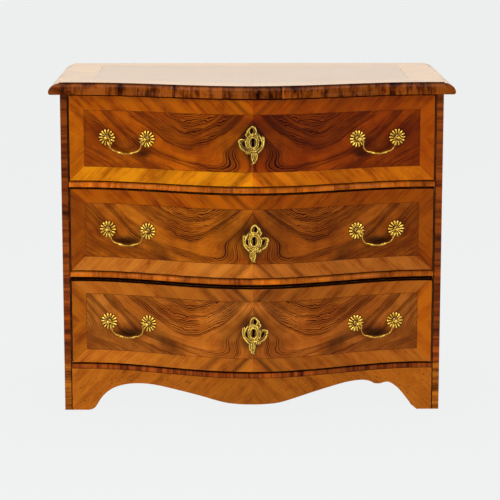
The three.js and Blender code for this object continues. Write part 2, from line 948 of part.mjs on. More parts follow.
function escutcheon(bay) {
  const lock = lockPlace(bay);
  const x = bay.keyShift;
  const ovalSteps = 4;
  const knots = plateShares.map(([wide, high]) => new THREE.Vector2(
    bay.flip * wide * plateWidth,
    high * plateHeight,
  ));
  const outline = new THREE.SplineCurve([...knots, knots[0]]).getPoints(knots.length);
  const plate = new THREE.Shape(outline);
  plate.holes = piercingShares.map((shares) => ovalShape(shares, bay.flip, THREE.Path));
  let solid = platedOnFace(plate, ovalSteps, x, lock.keyZ, plateThickness);
  const boss = new THREE.Shape();
  boss.absellipse(0, 0, bossWidth / 2, bossHeight / 2, 0, Math.PI * 2, false, 0);
  solid = solid.add(platedOnFace(boss, ovalSteps * 2, x, lock.keyZ, bossThickness));
  for (const shares of leafShares) {
    const leaf = ovalShape(shares, bay.flip, THREE.Shape);
    solid = solid.add(platedOnFace(leaf, ovalSteps, x, lock.keyZ, leafThickness));
  }
  const ahead = stileY - drawerBow - bossThickness - overrun;
  return geometryOf(solid.subtract(keyholeCut(x, lock.keyZ, ahead, stileY)));
}

// Petalled rosette with its post and ball, standing along +Z from the wood
function rosetteGeometry(seat, axisAngle) {
  const lift = seat.base.distanceTo(seat.face);
  const ring = (crestRadius, grooveRadius, crestHeight, grooveHeight) => {
    const points = [];
    for (let step = 0; step < petalCount * 2; step += 1) {
      const crest = step % 2 === 0;
      const turn = Math.PI * step / petalCount;
      const radius = crest ? crestRadius : grooveRadius;
      const height = crest ? crestHeight : grooveHeight;
      points.push(new THREE.Vector3(radius * Math.cos(turn), radius * Math.sin(turn), lift + height));
    }
    return points;
  };
  const notched = rosetteRadius - petalNotch;
  const back = ring(rosetteRadius, notched, 0, 0);
  const rings = [
    back,
    ring(rosetteRadius, notched, petalRim, petalRimGroove),
    ring(petalCrestRadius, petalCrestRadius, petalCrest, petalGroove),
    ring(hubRadius, hubRadius, hubHeight, hubHeight),
  ];
  const outline = back.map((point) => new THREE.Vector2(point.x, point.y));
  const flower = solidOf(loft(rings, outline));
  const tail = frontThickness + postTail;
  const post = new THREE.CylinderGeometry(postRadius, postRadius, ballHeight + tail, postSides);
  post.rotateX(Math.PI / 2).translate(0, 0, (ballHeight - tail) / 2);
  const ball = new THREE.SphereGeometry(ballRadius, postSides, postSides / 2);
  ball.rotateX(Math.PI / 2).translate(0, 0, ballHeight);
  const eye = new THREE.CylinderGeometry(
    bailPinRadius + bailPinClearance,
    bailPinRadius + bailPinClearance,
    ballRadius * 3,
    postSides,
  );
  eye.rotateZ(Math.PI / 2).rotateY(axisAngle).translate(0, 0, ballHeight);
  const stem = solidOf(post).add(solidOf(ball)).subtract(solidOf(eye));
  return geometryOf(flower.add(stem));
}

// Half of the bail's line from its pin inwards and down, as (along, height, radius)
function bailHalfLine(halfSpan) {
  const arm = halfSpan - bailInset;
  const quarter = Math.PI / 2;
  const topSteps = 1;
  const cornerSteps = 3;
  const line = [[halfSpan + bailPinPast, 0, bailPinRadius]];
  for (let step = 0; step <= topSteps; step += 1) {
    const turn = quarter * step / topSteps;
    line.push([
      arm + bailTopBend * (1 - Math.sin(turn)),
      -bailTopBend * (1 - Math.cos(turn)),
      bailPinRadius,
    ]);
  }
  const low = bailDrop - bailSag;
  for (let step = 0; step <= cornerSteps; step += 1) {
    const turn = quarter * step / cornerSteps;
    line.push([
      arm - bailCorner * (1 - Math.cos(turn)),
      -low + bailCorner * (1 - Math.sin(turn)),
      bailArmRadius,
    ]);
  }
  const bottom = arm - bailCorner;
  const swellShares = [
    [0.88, bailNeckRadius],
    [0.7, bailLeafRadius],
    [0.48, bailNeckRadius],
    [0.36, bailBeadRadius],
    [0.22, bailNeckRadius],
  ];
  for (const [share, radius] of swellShares) {
    line.push([bottom * share, -low - bailSag * (1 - share * share), radius]);
  }
  return line;
}

function bailGeometry(halfSpan) {
  const half = bailHalfLine(halfSpan);
  const middle = [0, -bailDrop, bailBeadRadius];
  const mirrored = half.map(([along, height, radius]) => [-along, height, radius]).reverse();
  const line = [...half, middle, ...mirrored];
  const section = [];
  for (let side = 0; side < bailSides; side += 1) {
    const turn = Math.PI * 2 * side / bailSides;
    section.push(new THREE.Vector2(Math.cos(turn), Math.sin(turn)));
  }
  const rings = line.map(([along, height, radius], at) => {
    const before = line[Math.max(at - 1, 0)];
    const after = line[Math.min(at + 1, line.length - 1)];
    const way = new THREE.Vector2(after[0] - before[0], after[1] - before[1]).normalize();
    return section.map((point) => new THREE.Vector3(
      along - way.y * point.x * radius,
      point.y * radius,
      height + way.x * point.x * radius,
    ));
  });
  return loft(rings, section);
}

// Two rosettes and the bail between their balls
function handleGroup(bay, sideSign) {
  const group = new THREE.Group();
  const sideName = sideSign < 0 ? "left" : "right";
  const seats = rosetteSeats().filter((seat) => seat.side === sideSign);
  const [left, right] = [...seats].sort((a, b) => a.ball.x - b.ball.x);
  const span = right.ball.clone().sub(left.ball);
  const angle = Math.atan2(span.y, span.x);
  const z = frontGapBelow + bay.front / 2 + handleRise;
  for (const seat of seats) {
    const name = `${bay.name}_${sideName}_rosette_${seat.label}`;
    const rosette = piece(name, rosetteGeometry(seat, angle - seat.slope), brass);
    rosette.position.set(seat.face.x, seat.face.y, z);
    rosette.rotation.set(Math.PI / 2, seat.slope, 0, "ZXY");
    group.add(rosette);
  }
  const bail = piece(`${bay.name}_${sideName}_bail`, bailGeometry(span.length() / 2), brass);
  bail.position.set((left.ball.x + right.ball.x) / 2, (left.ball.y + right.ball.y) / 2, z);
  bail.rotation.z = angle;
  group.add(bail);
  return group;
}

function drawerGroup(bay) {
  const group = new THREE.Group();
  group.position.z = bay.floor;
  group.add(piece(`${bay.name}_front`, drawerFront(bay), figuredWalnut));
  group.add(piece(`${bay.name}_side_left`, drawerSide(bay, -1), pine));
  group.add(piece(`${bay.name}_side_right`, drawerSide(bay, 1), pine));
  group.add(piece(`${bay.name}_back`, drawerBack(bay), pine));
  group.add(piece(`${bay.name}_bottom`, raised(panelPlan(0), panelLow, panelHigh), pine));
  group.add(piece(`${bay.name}_lock_case`, lockCase(bay), iron));
  group.add(piece(`${bay.name}_lock_bolt`, lockBolt(bay), iron));
  group.add(piece(`${bay.name}_escutcheon`, escutcheon(bay), brass));
  group.add(handleGroup(bay, -1));
  group.add(handleGroup(bay, 1));
  return group;
}

function carcaseGroup() {
  const group = new THREE.Group();
  const [bottomBay, middleBay] = bays;
  group.add(piece("side_panel_left", sidePanel(-1), goldenWalnut));
  group.add(piece("side_panel_right", sidePanel(1), goldenWalnut));
  group.add(piece("bottom_board", geometryOf(housedBoard(apronHeight, bayFloor)), pine));
  group.add(piece("divider_board_lower", dividerBoard(bottomBay), pine));
  group.add(piece("divider_board_upper", dividerBoard(middleBay), pine));
  group.add(piece("back_panel", backPanel(), pine));
  group.add(piece("top_board", topBoard(), figuredWalnut));
  group.add(piece("top_moulding_front", topFrontMoulding(), crossWalnut));
  group.add(piece("top_moulding_left", topSideMoulding(-1), crossWalnut));
  group.add(piece("top_moulding_right", topSideMoulding(1), crossWalnut));
  group.add(piece("bead_lower", beadGeometry(bottomBay.ceiling), crossWalnut));
  group.add(piece("bead_upper", beadGeometry(middleBay.ceiling), crossWalnut));
  group.add(piece("base_band", baseBandGeometry(), crossWalnut));
  group.add(piece("apron", apronGeometry(), goldenWalnut));
  group.add(piece("foot_block_front_left", footBlock(-1, true), pine));
  group.add(piece("foot_block_front_right", footBlock(1, true), pine));
  group.add(piece("foot_block_back_left", footBlock(-1, false), pine));
  group.add(piece("foot_block_back_right", footBlock(1, false), pine));
  return group;
}

const group = new THREE.Group();
group.add(carcaseGroup());
for (const bay of bays) {
  group.add(drawerGroup(bay));
}

export default group;
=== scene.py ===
"""Looks of a serpentine-fronted commode chest, built in metres round its CAD frame.

X runs along the front, +Y points to the back and +Z up.
"""

import json
import math
import random
from collections import namedtuple

import bmesh
import bpy
from mathutils import Matrix, Vector


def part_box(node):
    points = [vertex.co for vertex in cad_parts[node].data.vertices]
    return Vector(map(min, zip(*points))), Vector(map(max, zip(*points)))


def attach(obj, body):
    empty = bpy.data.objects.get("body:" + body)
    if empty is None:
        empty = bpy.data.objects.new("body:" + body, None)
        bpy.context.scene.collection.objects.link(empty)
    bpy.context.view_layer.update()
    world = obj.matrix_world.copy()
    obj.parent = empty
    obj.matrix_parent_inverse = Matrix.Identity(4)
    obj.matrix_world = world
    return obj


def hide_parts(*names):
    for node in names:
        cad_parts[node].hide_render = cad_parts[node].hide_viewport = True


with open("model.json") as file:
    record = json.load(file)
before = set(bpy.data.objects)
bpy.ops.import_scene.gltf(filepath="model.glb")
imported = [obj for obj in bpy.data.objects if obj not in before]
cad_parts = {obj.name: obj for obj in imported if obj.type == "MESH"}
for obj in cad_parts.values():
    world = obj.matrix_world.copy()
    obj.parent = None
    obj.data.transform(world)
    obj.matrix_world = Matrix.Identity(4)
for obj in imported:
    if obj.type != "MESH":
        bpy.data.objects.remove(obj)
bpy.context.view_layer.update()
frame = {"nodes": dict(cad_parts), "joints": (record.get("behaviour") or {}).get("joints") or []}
DRAWERS = ("bottom_drawer", "middle_drawer", "top_drawer")
SIDES = {"left": -1, "right": 1}
SEEDS = {
    "side_bands": 20, "side_panel": 30, "side_foot": 40, "stile": 50, "front_moulding": 61,
    "side_moulding": 63, "bead_lower": 71, "bead_upper": 72, "base_band": 73, "top": 81,
    "worm_holes": 97, "strings": 2, "top_grain": 5, "apron": 6, "apron_core": 3,
}

# Places measured on the frame
SIDE_LOW, SIDE_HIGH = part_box("side_panel_left")
STILE_Y = SIDE_LOW.y
BACK_Y = SIDE_HIGH.y
HALF_WIDTH = -SIDE_LOW.x
INNER_HALF = -SIDE_HIGH.x
TOP_LOW, TOP_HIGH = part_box("top_board")
TOP_OVERHANG = -HALF_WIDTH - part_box("top_moulding_left")[0].x
TOP_BOW = STILE_Y - TOP_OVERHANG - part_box("top_moulding_front")[0].y
FRONT_LOW, FRONT_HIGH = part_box("bottom_drawer_front")
DRAWER_BOW = STILE_Y - FRONT_LOW.y
APRON_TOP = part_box("apron")[1].z
BAY_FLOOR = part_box("base_band")[1].z

# The serpentine curve and the sizes of the finished surfaces
STRAIGHT_END = 0.035
SWELL_HALF = HALF_WIDTH - STRAIGHT_END
VENEER = 0.001
VENEER_PROUD = 0.0013
GLUE_LINE = 0.0001
STRINGING = 0.001
CELL = 0.006
SHARP_ANGLE = math.radians(38)
FIT = 0.0003
UPWARD = 0.3
UP = Vector((0, 0, 1))

# Camera, floor and background
CAMERA_PLACE = Vector((-0.057, -4.9765, 1.353))
CAMERA_YAW = math.radians(0.62)
CAMERA_PITCH = math.radians(10.3)
SENSOR = 36
LENS = 138.24
SHIFT_UP = -0.05
FLOOR_FRONT = -1.1
FLOOR_REACH = 40.0
FLOOR_SHADE = 0.03
FILL = 0.15
FRONT_ROOM = 0.85
ROOM_EDGE = (-0.1, 0.35)
MIDDLE = (0, -0.2, 0.45)

# Lamps: place, what each points at, width, height and power
LAMPS = {
    "overhead_front": ((-0.8, -2.9, 3.0), MIDDLE, 1.6, 0.9, 38),
    "overhead_top": ((0.0, 0.3, 3.2), (0, 0.1, 0.8), 2.0, 1.2, 56),
    "softbox_left": ((-2.35, -2.7, 1.05), MIDDLE, 0.5, 1.1, 17),
    "softbox_right": ((2.35, -2.7, 1.05), MIDDLE, 0.5, 1.1, 16),
    "floor_bounce": ((-0.1, -1.4, 0.06), (0, -0.3, 0.4), 1.1, 0.12, 10),
    "backdrop_glow": ((0, 3.4, 1.95), (0, 0, 0.9), 5.0, 1.5, 8),
}


def srgb(red, green, blue):
    """A colour as the eye sees it, each part from 0 to 255, for the shader."""

    def linear(value):
        share = value / 255
        return share / 12.92 if share <= 0.04045 else ((share + 0.055) / 1.055) ** 2.4

    return (linear(red), linear(green), linear(blue), 1.0)


PALE = srgb(240, 242, 241)


def lerp(start, end, share):
    return start + (end - start) * share


def smooth_share(value):
    share = min(max(value, 0.0), 1.0)
    return share * share * (3 - 2 * share)


def spread(start, end, steps, first=0):
    """Evenly spaced values from the start, or from a later step, up to the end."""
    return [lerp(start, end, step / steps) for step in range(first, steps + 1)]


def bell(away, width):
    """One in the middle, and less the further away."""
    return math.exp(-((away / width) ** 2))


def part_way(here, there, share):
    return tuple(lerp(start, end, share) for start, end in zip(here, there))


def spoke(turn, wide, high):
    """The point at some turn on an oval round zero."""
    return wide * math.cos(turn), high * math.sin(turn)


def linked(name, data):
    """A new object in the scene."""
    thing = bpy.data.objects.new(name, data)
    bpy.context.scene.collection.objects.link(thing)
    return thing


class Graph:
    """A node tree, with short calls that add nodes to it."""

    def __init__(self, tree):
        self.tree = tree

    def node(self, kind, inputs=(), **settings):
        made = self.tree.nodes.new("ShaderNode" + kind)
        for name, value in settings.items():
            setattr(made, name, value)
        for socket, value in dict(inputs).items():
            if isinstance(value, bpy.types.NodeSocket):
                self.tree.links.new(value, made.inputs[socket])
            else:
                made.inputs[socket].default_value = value
        return made

    def math(self, operation, first, second=0.0):
        return self.node("Math", {0: first, 1: second}, operation=operation).outputs[0]

    def times(self, first, second):
        return self.math("MULTIPLY", first, second)

    def plus(self, first, second):
        return self.math("ADD", first, second)

    def highest(self, *values):
        highest, *others = values
        for value in others:
            highest = self.math("MAXIMUM", highest, value)
        return highest


class Shader(Graph):
    """A material with the nodes that make it."""

    def __init__(self, name, **constants):
        self.material = bpy.data.materials.new(name)
        self.material.use_nodes = True
        super().__init__(self.material.node_tree)
        self.surface = self.tree.nodes["Principled BSDF"]
        for socket, value in constants.items():
            self.surface.inputs[socket.replace("_", " ")].default_value = value

    def finish(self, socket, value):
        self.tree.links.new(value, self.surface.inputs[socket])

    def attribute(self, name, output="Vector"):
        return self.node("Attribute", attribute_name=name).outputs[output]

    def place(self):
        return self.node("TexCoord").outputs["Object"]

    def scaled(self, vector, scale):
        return self.node("VectorMath", {0: vector, 1: scale}, operation="MULTIPLY").outputs[0]

    def pushed(self, grain, way):
        """The grain's place moved across it."""
        offset = self.node("CombineXYZ", {1: way}).outputs[0]
        return self.node("VectorMath", {0: grain, 1: offset}, operation="ADD").outputs[0]

    def across(self, grain):
        return self.node("SeparateXYZ", {0: grain}).outputs[1]

    def noise(self, vector, scale, detail=3.0, roughness=0.5, distortion=0.0):
        inputs = {"Vector": self.scaled(vector, scale), "Scale": 1.0, "Detail": detail}
        inputs.update({"Roughness": roughness, "Distortion": distortion})
        return self.node("TexNoise", inputs).outputs["Fac"]

    def between(self, value, low, high, start=0.0, end=1.0):
        inputs = {"Value": value, "From Min": low, "From Max": high, "To Min": start, "To Max": end}
        return self.node("MapRange", inputs, interpolation_type="SMOOTHSTEP").outputs[0]

    def mix(self, share, first, second, blend="MIX"):
        made = self.node("Mix", {0: share, 6: first, 7: second}, data_type="RGBA")
        made.blend_type = blend
        return made.outputs[2]

    def ramp(self, value, stops):
        made = self.node("ValToRGB", {"Fac": value})
        band = made.color_ramp.elements
        stops = list(stops)
        while len(band) < len(stops):
            band.new(1.0)
        for stop, (place, colour) in zip(band, stops):
            stop.position = place
            stop.color = colour
        return made.outputs[0]

    def bump(self, height, strength, distance):
        inputs = {"Height": height, "Strength": strength, "Distance": distance}
        self.finish("Normal", self.node("Bump", inputs).outputs[0])


# Veneers

VARNISH = {
    "Roughness": 0.5,
    "Specular_IOR_Level": 0.0,
    "Coat_Weight": 0.3,
    "Coat_IOR": 1.3,
    "Coat_Roughness": 0.06,
}
MOULDING_VARNISH = {**VARNISH, "Coat_Weight": 0.1}
BEAD_VARNISH = {**VARNISH, "Coat_Weight": 0.15, "Coat_IOR": 1.4}
TOP_VARNISH = {**VARNISH, "Coat_Weight": 0.98, "Coat_IOR": 1.46, "Coat_Roughness": 0.18}
GRAIN_BUMP = (0.08, 0.0002)

# Short dark vessels along the grain: scale from leaf to leaf, detail, where they start and end
PORE_LEAF = 3.0
PORE_DETAIL = 1.0
PORE_LEVELS = (0.6, 0.72)

# Noise of a plain veneer: scales along the grain, across it and from leaf to leaf, detail, roughness
PLAIN_NOISE = {
    "sway": ((5.0, 18.0, 5.0), 2.0),
    "stripes": ((1.5, 42.0, 5.0), 2.0, 0.6),
    "lines": ((5.0, 330.0, 5.0), 4.0, 0.65),
    "clouds": ((14.0, 22.0, 5.0), 3.0, 0.6),
    "flecks": ((40.0, 170.0, 5.0), 3.0, 0.6),
}
SWAY_LEVELS = (0.0, 1.0, -0.004, 0.004)
PLAIN_PORES = (150.0, 1500.0)
PLAIN_PORE_DEPTH = 0.3

# How much of a plain veneer's figure is broad stripes, fine lines, clouds and flecks
CALM_FIGURE = (0.3, 0.22, 0.3, 0.18)
STRIPED_FIGURE = (0.5, 0.25, 0.15, 0.1)
MOTTLED_FIGURE = (0.22, 0.2, 0.33, 0.25)
SMOKY_FIGURE = (0.22, 0.13, 0.45, 0.2)

# Where its figure turns from the deepest colour to the dark and the light one
EVEN_STOPS = (0.38, 0.46, 0.56)
MIDDLING_STOPS = (0.4, 0.465, 0.545)
STRONG_STOPS = (0.42, 0.47, 0.54)


def toned(wood, colour):
    """The colour times the tone that a leaf or segment was given."""
    return wood.mix(1.0, colour, wood.attribute("tone", "Color"), "MULTIPLY")


def pores(wood, grain, length_scale, width_scale):
    """Short dark vessels along the grain, as a share from none to full."""
    return wood.between(wood.noise(grain, (length_scale, width_scale, PORE_LEAF), PORE_DETAIL), *PORE_LEVELS)


def plain_veneer(name, light, dark, deep, varnish=VARNISH, figure=CALM_FIGURE, width=1.0, stops=EVEN_STOPS):
    """Straight-grained veneer: broad stripes, clouds, fine lines and pores along the grain."""
    wood = Shader(name, **varnish)
    grain = wood.attribute("grain")

    def noise(vector, part, narrower=1.0):
        (along, across, leaf), *rest = PLAIN_NOISE[part]
        return wood.noise(vector, (along, across * narrower, leaf), *rest)

    warped = wood.pushed(grain, wood.between(noise(grain, "sway"), *SWAY_LEVELS))
    lines = noise(warped, "lines", width)
    parts = (noise(warped, "stripes", width), lines, noise(grain, "clouds"), noise(warped, "flecks"))
    mixed = 0.0
    for part, share in zip(parts, figure):
        mixed = wood.plus(wood.times(part, share), mixed)
    colour = wood.ramp(mixed, zip(stops, (deep, dark, light)))
    holes = pores(wood, warped, *PLAIN_PORES)
    colour = wood.mix(wood.times(holes, PLAIN_PORE_DEPTH), colour, deep)
    wood.finish("Base Color", toned(wood, colour))
    wood.bump(wood.math("SUBTRACT", lines, holes), *GRAIN_BUMP)
    return wood.material


# Colours of the figured veneer
RED_BROWN = srgb(132, 54, 3)
WALNUT = srgb(158, 75, 5)
AMBER = srgb(192, 98, 12)
RED_DARK = srgb(92, 30, 0)
UMBER = srgb(44, 10, 0)

# Its noise, and the levels from which and to which that is spread
FIGURE_PATTERNS = {
    "drift": (((8.0, 13.0, 4.0), 2.0), (0.1, 0.9, -0.008, 0.008)),
    "waves": (((36.0, 30.0, 4.0), 2.0), (0.1, 0.9, -0.007, 0.007)),
    "ripples": (((110.0, 45.0, 4.0), 1.0), (0.1, 0.9, -0.0014, 0.0014)),
    "thick": (((9.0, 70.0, 7.0), 2.0), (0.35, 0.65, -0.35, 0.75)),
    "veins": (((4.0, 210.0, 4.0), 3.0, 0.6), (0.5, 0.64)),
    "smoke": (((14.0, 75.0, 4.0), 3.0, 0.6), (0.42, 0.68)),
    "shimmer": (((65.0, 9.0, 4.0), 2.0), (0.45, 0.75, 0.0, 0.35)),
}
UNEVEN_NOISE = ((3.0, 60.0, 4.0), 2.0)
UNEVENNESS = 9.0
FINE_NOISE = ((7.0, 640.0, 4.0), 3.0, 0.6)
CLOUD_NOISE = ((9.0, 14.0, 4.0), 3.0, 0.6)
CLOUD_STOPS = (0.32, 0.48, 0.66)
FIGURE_PORES = (120.0, 1400.0)
STROKE_LEVELS = (0.35, 1.15)

# How much each layer darkens: from which levels to which shares, or by one share
FINE_DEPTHS = (0.4, 0.66, 0.0, 0.45)
VEIN_DEPTHS = (0.0, 1.0, 0.12, 0.6)
SMOKE_DEPTHS = (0.0, 0.8, 0.12, 0.6)
INK_DEPTHS = (0.15, 1.0, 0.0, 0.95)
BUNDLE_DEPTH = 0.2
FIGURE_PORE_DEPTH = 0.25

# How dark the drawn bundles are, across the figure from the foot of the flow to its top
FLOW_REACH = 0.12
LINE_PITCH = 0.0052
BUNDLE_SHARES = [
    (0.0, 0.65), (0.12, 0.55), (0.22, 0.85), (0.31, 0.8), (0.34, 0.25), (0.42, 0.15), (0.45, 0.95),
    (0.55, 0.95), (0.575, 0.08), (0.7, 0.05), (0.72, 1.0), (0.75, 0.85), (0.86, 1.0), (1.0, 0.95),
]


def figured_veneer():
    """Book-matched crotch veneer. The grain's across value follows the leaf's drawn flow."""
    wood = Shader("figured_veneer", **VARNISH)
    grain = wood.attribute("grain")
    leaf = wood.attribute("leaf")

    def pattern(name, vector):
        noise, levels = FIGURE_PATTERNS[name]
        return wood.between(wood.noise(vector, *noise), *levels)

    waves = wood.plus(pattern("waves", grain), pattern("ripples", grain))
    waves = wood.times(waves, wood.attribute("wild", "Fac"))
    bent = wood.pushed(grain, wood.plus(pattern("drift", grain), waves))
    across = wood.across(wood.pushed(grain, waves))
    level = wood.node("MapRange", {"Value": across, "From Min": -FLOW_REACH, "From Max": FLOW_REACH})
    shares = [(place, (dark, dark, dark, 1.0)) for place, dark in BUNDLE_SHARES]
    darkness = wood.ramp(level.outputs[0], shares)
    # Growth lines: an uneven wave across the flow, thick and thin by turns
    uneven = wood.times(wood.noise(bent, *UNEVEN_NOISE), UNEVENNESS)
    turn = wood.plus(wood.times(wood.across(bent), 2 * math.pi / LINE_PITCH), uneven)
    strokes = wood.between(wood.plus(wood.math("SINE", turn), pattern("thick", bent)), *STROKE_LEVELS)
    fine = wood.noise(bent, *FINE_NOISE)
    holes = pores(wood, bent, *FIGURE_PORES)
    base = wood.ramp(wood.noise(leaf, *CLOUD_NOISE), zip(CLOUD_STOPS, (RED_BROWN, WALNUT, AMBER)))
    for share, colour in (
        (pattern("shimmer", leaf), RED_BROWN),
        (wood.between(fine, *FINE_DEPTHS), RED_DARK),
        (wood.times(pattern("veins", bent), wood.between(darkness, *VEIN_DEPTHS)), RED_DARK),
        (wood.times(pattern("smoke", bent), wood.between(darkness, *SMOKE_DEPTHS)), RED_DARK),
        (wood.times(darkness, BUNDLE_DEPTH), RED_DARK),
        (wood.times(strokes, wood.between(darkness, *INK_DEPTHS)), UMBER),
        (wood.times(holes, FIGURE_PORE_DEPTH), UMBER),
    ):
        base = wood.mix(share, base, colour)
    wood.finish("Base Color", toned(wood, base))
    wood.bump(wood.math("SUBTRACT", fine, holes), *GRAIN_BUMP)
    return wood.material


# Plain materials

RING_SCALE = 70.0
GRAIN_SCALE = 1.6
FIBRE_FINENESS = 9
RING_NOISE = (2.0, 0.5, 0.6)
RING_SHARE = 0.75
SPRUCE_STOPS = (0.36, 0.52, 0.7)
SPRUCE_CLOUDS = (0.45, 0.75, 0.0, 0.35)
SPRUCE_BUMP = (0.25, 0.0006)
GRIME_DISTANCE = 0.004
GRIME_SAMPLES = 8
GRIME_LEVELS = (0.3, 0.9)
BRASS_BUMP = (0.12, 0.0003)
IRON_BUMP = (0.35, 0.0006)
BRASS_STOPS = [(0.35, srgb(212, 164, 48)), (0.65, srgb(252, 212, 92))]
BRASS_DIRT = srgb(80, 46, 8)
IRON_STOPS = [(0.4, srgb(58, 52, 48)), (0.6, srgb(104, 98, 92)), (0.72, srgb(92, 62, 40))]

# Their noise: scales and detail
FIBRE_DETAIL = 2.0
SPRUCE_CLOUD_NOISE = ([3.0] * 3, 3.0)
BRASS_CLOUD_NOISE = ([60.0] * 3, 3.0)
BRASS_GRAIN_NOISE = ([420.0] * 3, 2.0)
RUST_NOISE = ([90.0] * 3, 4.0)
IRON_GRAIN_NOISE = ([300.0] * 3, 3.0)


def dull_wood(name, colour):
    """Bare, dark matte wood, in the joints between the parts and on the drawers' upper edges: dirt, and
    painted shade of the gaps.
    """
    return Shader(name, Base_Color=colour, Roughness=0.9, Specular_IOR_Level=0.0).material


def softwood(along, light, dark):
    """Bare spruce: along is the direction of its grain."""
    wood = Shader(f"pine_along_{along}", Roughness=0.72, Specular_IOR_Level=0.25)
    stretch = [RING_SCALE] * 3
    stretch["xyz".index(along)] = GRAIN_SCALE
    place = wood.place()
    fibres = wood.noise(place, [value * FIBRE_FINENESS for value in stretch], FIBRE_DETAIL)
    rings = wood.times(wood.noise(place, stretch, *RING_NOISE), RING_SHARE)
    mixed = wood.plus(rings, wood.times(fibres, 1 - RING_SHARE))
    colour = wood.ramp(mixed, zip(SPRUCE_STOPS, (dark, light, light)))
    cloud = wood.noise(place, *SPRUCE_CLOUD_NOISE)
    wood.finish("Base Color", wood.mix(wood.between(cloud, *SPRUCE_CLOUDS), colour, dark))
    wood.bump(fibres, *SPRUCE_BUMP)
    return wood.material


def cast_brass():
    """Yellow brass, brown where dirt lies in its hollows."""
    metal = Shader("cast_brass", Metallic=1.0, Roughness=0.19, Coat_Weight=0.5, Coat_Roughness=0.12)
    place = metal.place()
    cloud = metal.noise(place, *BRASS_CLOUD_NOISE)
    grime = metal.node("AmbientOcclusion", {"Distance": GRIME_DISTANCE}, samples=GRIME_SAMPLES).outputs["AO"]
    colour = metal.mix(metal.between(grime, *GRIME_LEVELS), BRASS_DIRT, metal.ramp(cloud, BRASS_STOPS))
    metal.finish("Base Color", toned(metal, colour))
    metal.bump(metal.noise(place, *BRASS_GRAIN_NOISE), *BRASS_BUMP)
    return metal.material


def forged_iron():
    """Dark iron with a little rust."""
    metal = Shader("forged_iron", Metallic=0.9, Roughness=0.5)
    place = metal.place()
    rust = metal.noise(place, *RUST_NOISE)
    metal.finish("Base Color", metal.ramp(rust, IRON_STOPS))
    metal.bump(metal.noise(place, *IRON_GRAIN_NOISE), *IRON_BUMP)
    return metal.material


FIGURED = figured_veneer()
BAND = plain_veneer("band_veneer", srgb(201, 113, 14), srgb(180, 93, 8), srgb(146, 67, 3),
                    stops=MIDDLING_STOPS)
APRON_VENEER = plain_veneer("apron_veneer", srgb(184, 102, 20), srgb(160, 83, 12), srgb(126, 57, 5))
CROSS = plain_veneer("cross_veneer", srgb(145, 73, 18), srgb(91, 35, 4), srgb(32, 7, 0),
                     MOULDING_VARNISH, SMOKY_FIGURE, 0.9, STRONG_STOPS)
BEAD = plain_veneer("bead_veneer", srgb(192, 101, 18), srgb(157, 74, 10), srgb(98, 34, 3),
                    BEAD_VARNISH, MOTTLED_FIGURE, 1.2)
STILE = plain_veneer("stile_veneer", srgb(153, 71, 12), srgb(110, 42, 5), srgb(58, 16, 0),
                     VARNISH, STRIPED_FIGURE, 1.6)
TOP_VENEER = plain_veneer("top_veneer", srgb(204, 146, 50), srgb(190, 132, 42), srgb(168, 106, 26),
                          TOP_VARNISH)
STRING = plain_veneer("string_veneer", srgb(96, 42, 6), srgb(76, 29, 3), srgb(48, 15, 0))
# Painted shade: near black where gaps, the keyhole and the piercings show, also the back's dark joints; dark
# brown, also stained, on the drawers' upper edges
SHADOW = dull_wood("dark_edge", srgb(22, 7, 1))
SHADED_AND_STAINED = dull_wood("shaded_and_stained_edge", srgb(50, 24, 9))
PINE_X, PINE_Y = (softwood(along, srgb(206, 164, 112), srgb(168, 118, 70)) for along in "xy")
PINE_Z = softwood("z", srgb(196, 152, 102), srgb(150, 102, 60))
BRASS = cast_brass()
IRON = forged_iron()


# Solids

Leaf = namedtuple("Leaf", "outline grain tone shade", defaults=[None])


class Solid:
    """Points and faces of a piece, with the grain's place and the tone at every point."""

    def __init__(self):
        self.points, self.faces = [], []
        self.grain, self.leaf, self.tone, self.wild = [], [], [], []

    def point(self, place, grain=(0, 0, 0), tone=(1.0, 1.0, 1.0), leaf=(0, 0, 0), wild=0.0):
        self.points.append(place)
        self.grain.append(grain)
        self.leaf.append(leaf)
        self.tone.append(tone)
        self.wild.append(wild)
        return len(self.points) - 1

    def rings(self, rings, close_ends=True):
        """Joins rings of point numbers into a closed skin."""
        for here, there in zip(rings, rings[1:]):
            for side in range(len(here)):
                self.faces.append((here[side - 1], here[side], there[side], there[side - 1]))
        if close_ends:
            self.faces.append(tuple(rings[0]))
            self.faces.append(tuple(reversed(rings[-1])))

    def skin(self, rings):
        """A closed skin over rings of plain places."""
        self.rings([[self.point(place) for place in ring] for ring in rings])

    def mesh(self, name):
        mesh = bpy.data.meshes.new(name)
        mesh.from_pydata([tuple(point) for point in self.points], [], self.faces)
        shape = bmesh.new()
        shape.from_mesh(mesh)
        bmesh.ops.recalc_face_normals(shape, faces=shape.faces)
        shape.to_mesh(mesh)
        shape.free()
        return mesh


def make_piece(name, solid, material, body, stands_for=()):
    """A solid as an object that rides on a CAD body and takes the place of some CAD nodes."""
    mesh = solid.mesh(name)
    for label in ("grain", "leaf", "tone"):
        flat = [part for value in getattr(solid, label) for part in value]
        mesh.attributes.new(label, "FLOAT_VECTOR", "POINT").data.foreach_set("vector", flat)
    mesh.attributes.new("wild", "FLOAT", "POINT").data.foreach_set("value", solid.wild)
    mesh.polygons.foreach_set("use_smooth", [True] * len(mesh.polygons))
    mesh.set_sharp_from_angle(angle=SHARP_ANGLE)
    mesh.materials.append(material)
    piece = linked(name, mesh)
    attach(piece, body)
    if stands_for:
        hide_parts(*stands_for)
    return piece


def repaint(mesh, material, wanted):
    """Gives one more material to the faces of a mesh that are wanted."""
    mesh.materials.append(material)
    for face in mesh.polygons:
        if wanted(face):
            face.material_index = len(mesh.materials) - 1


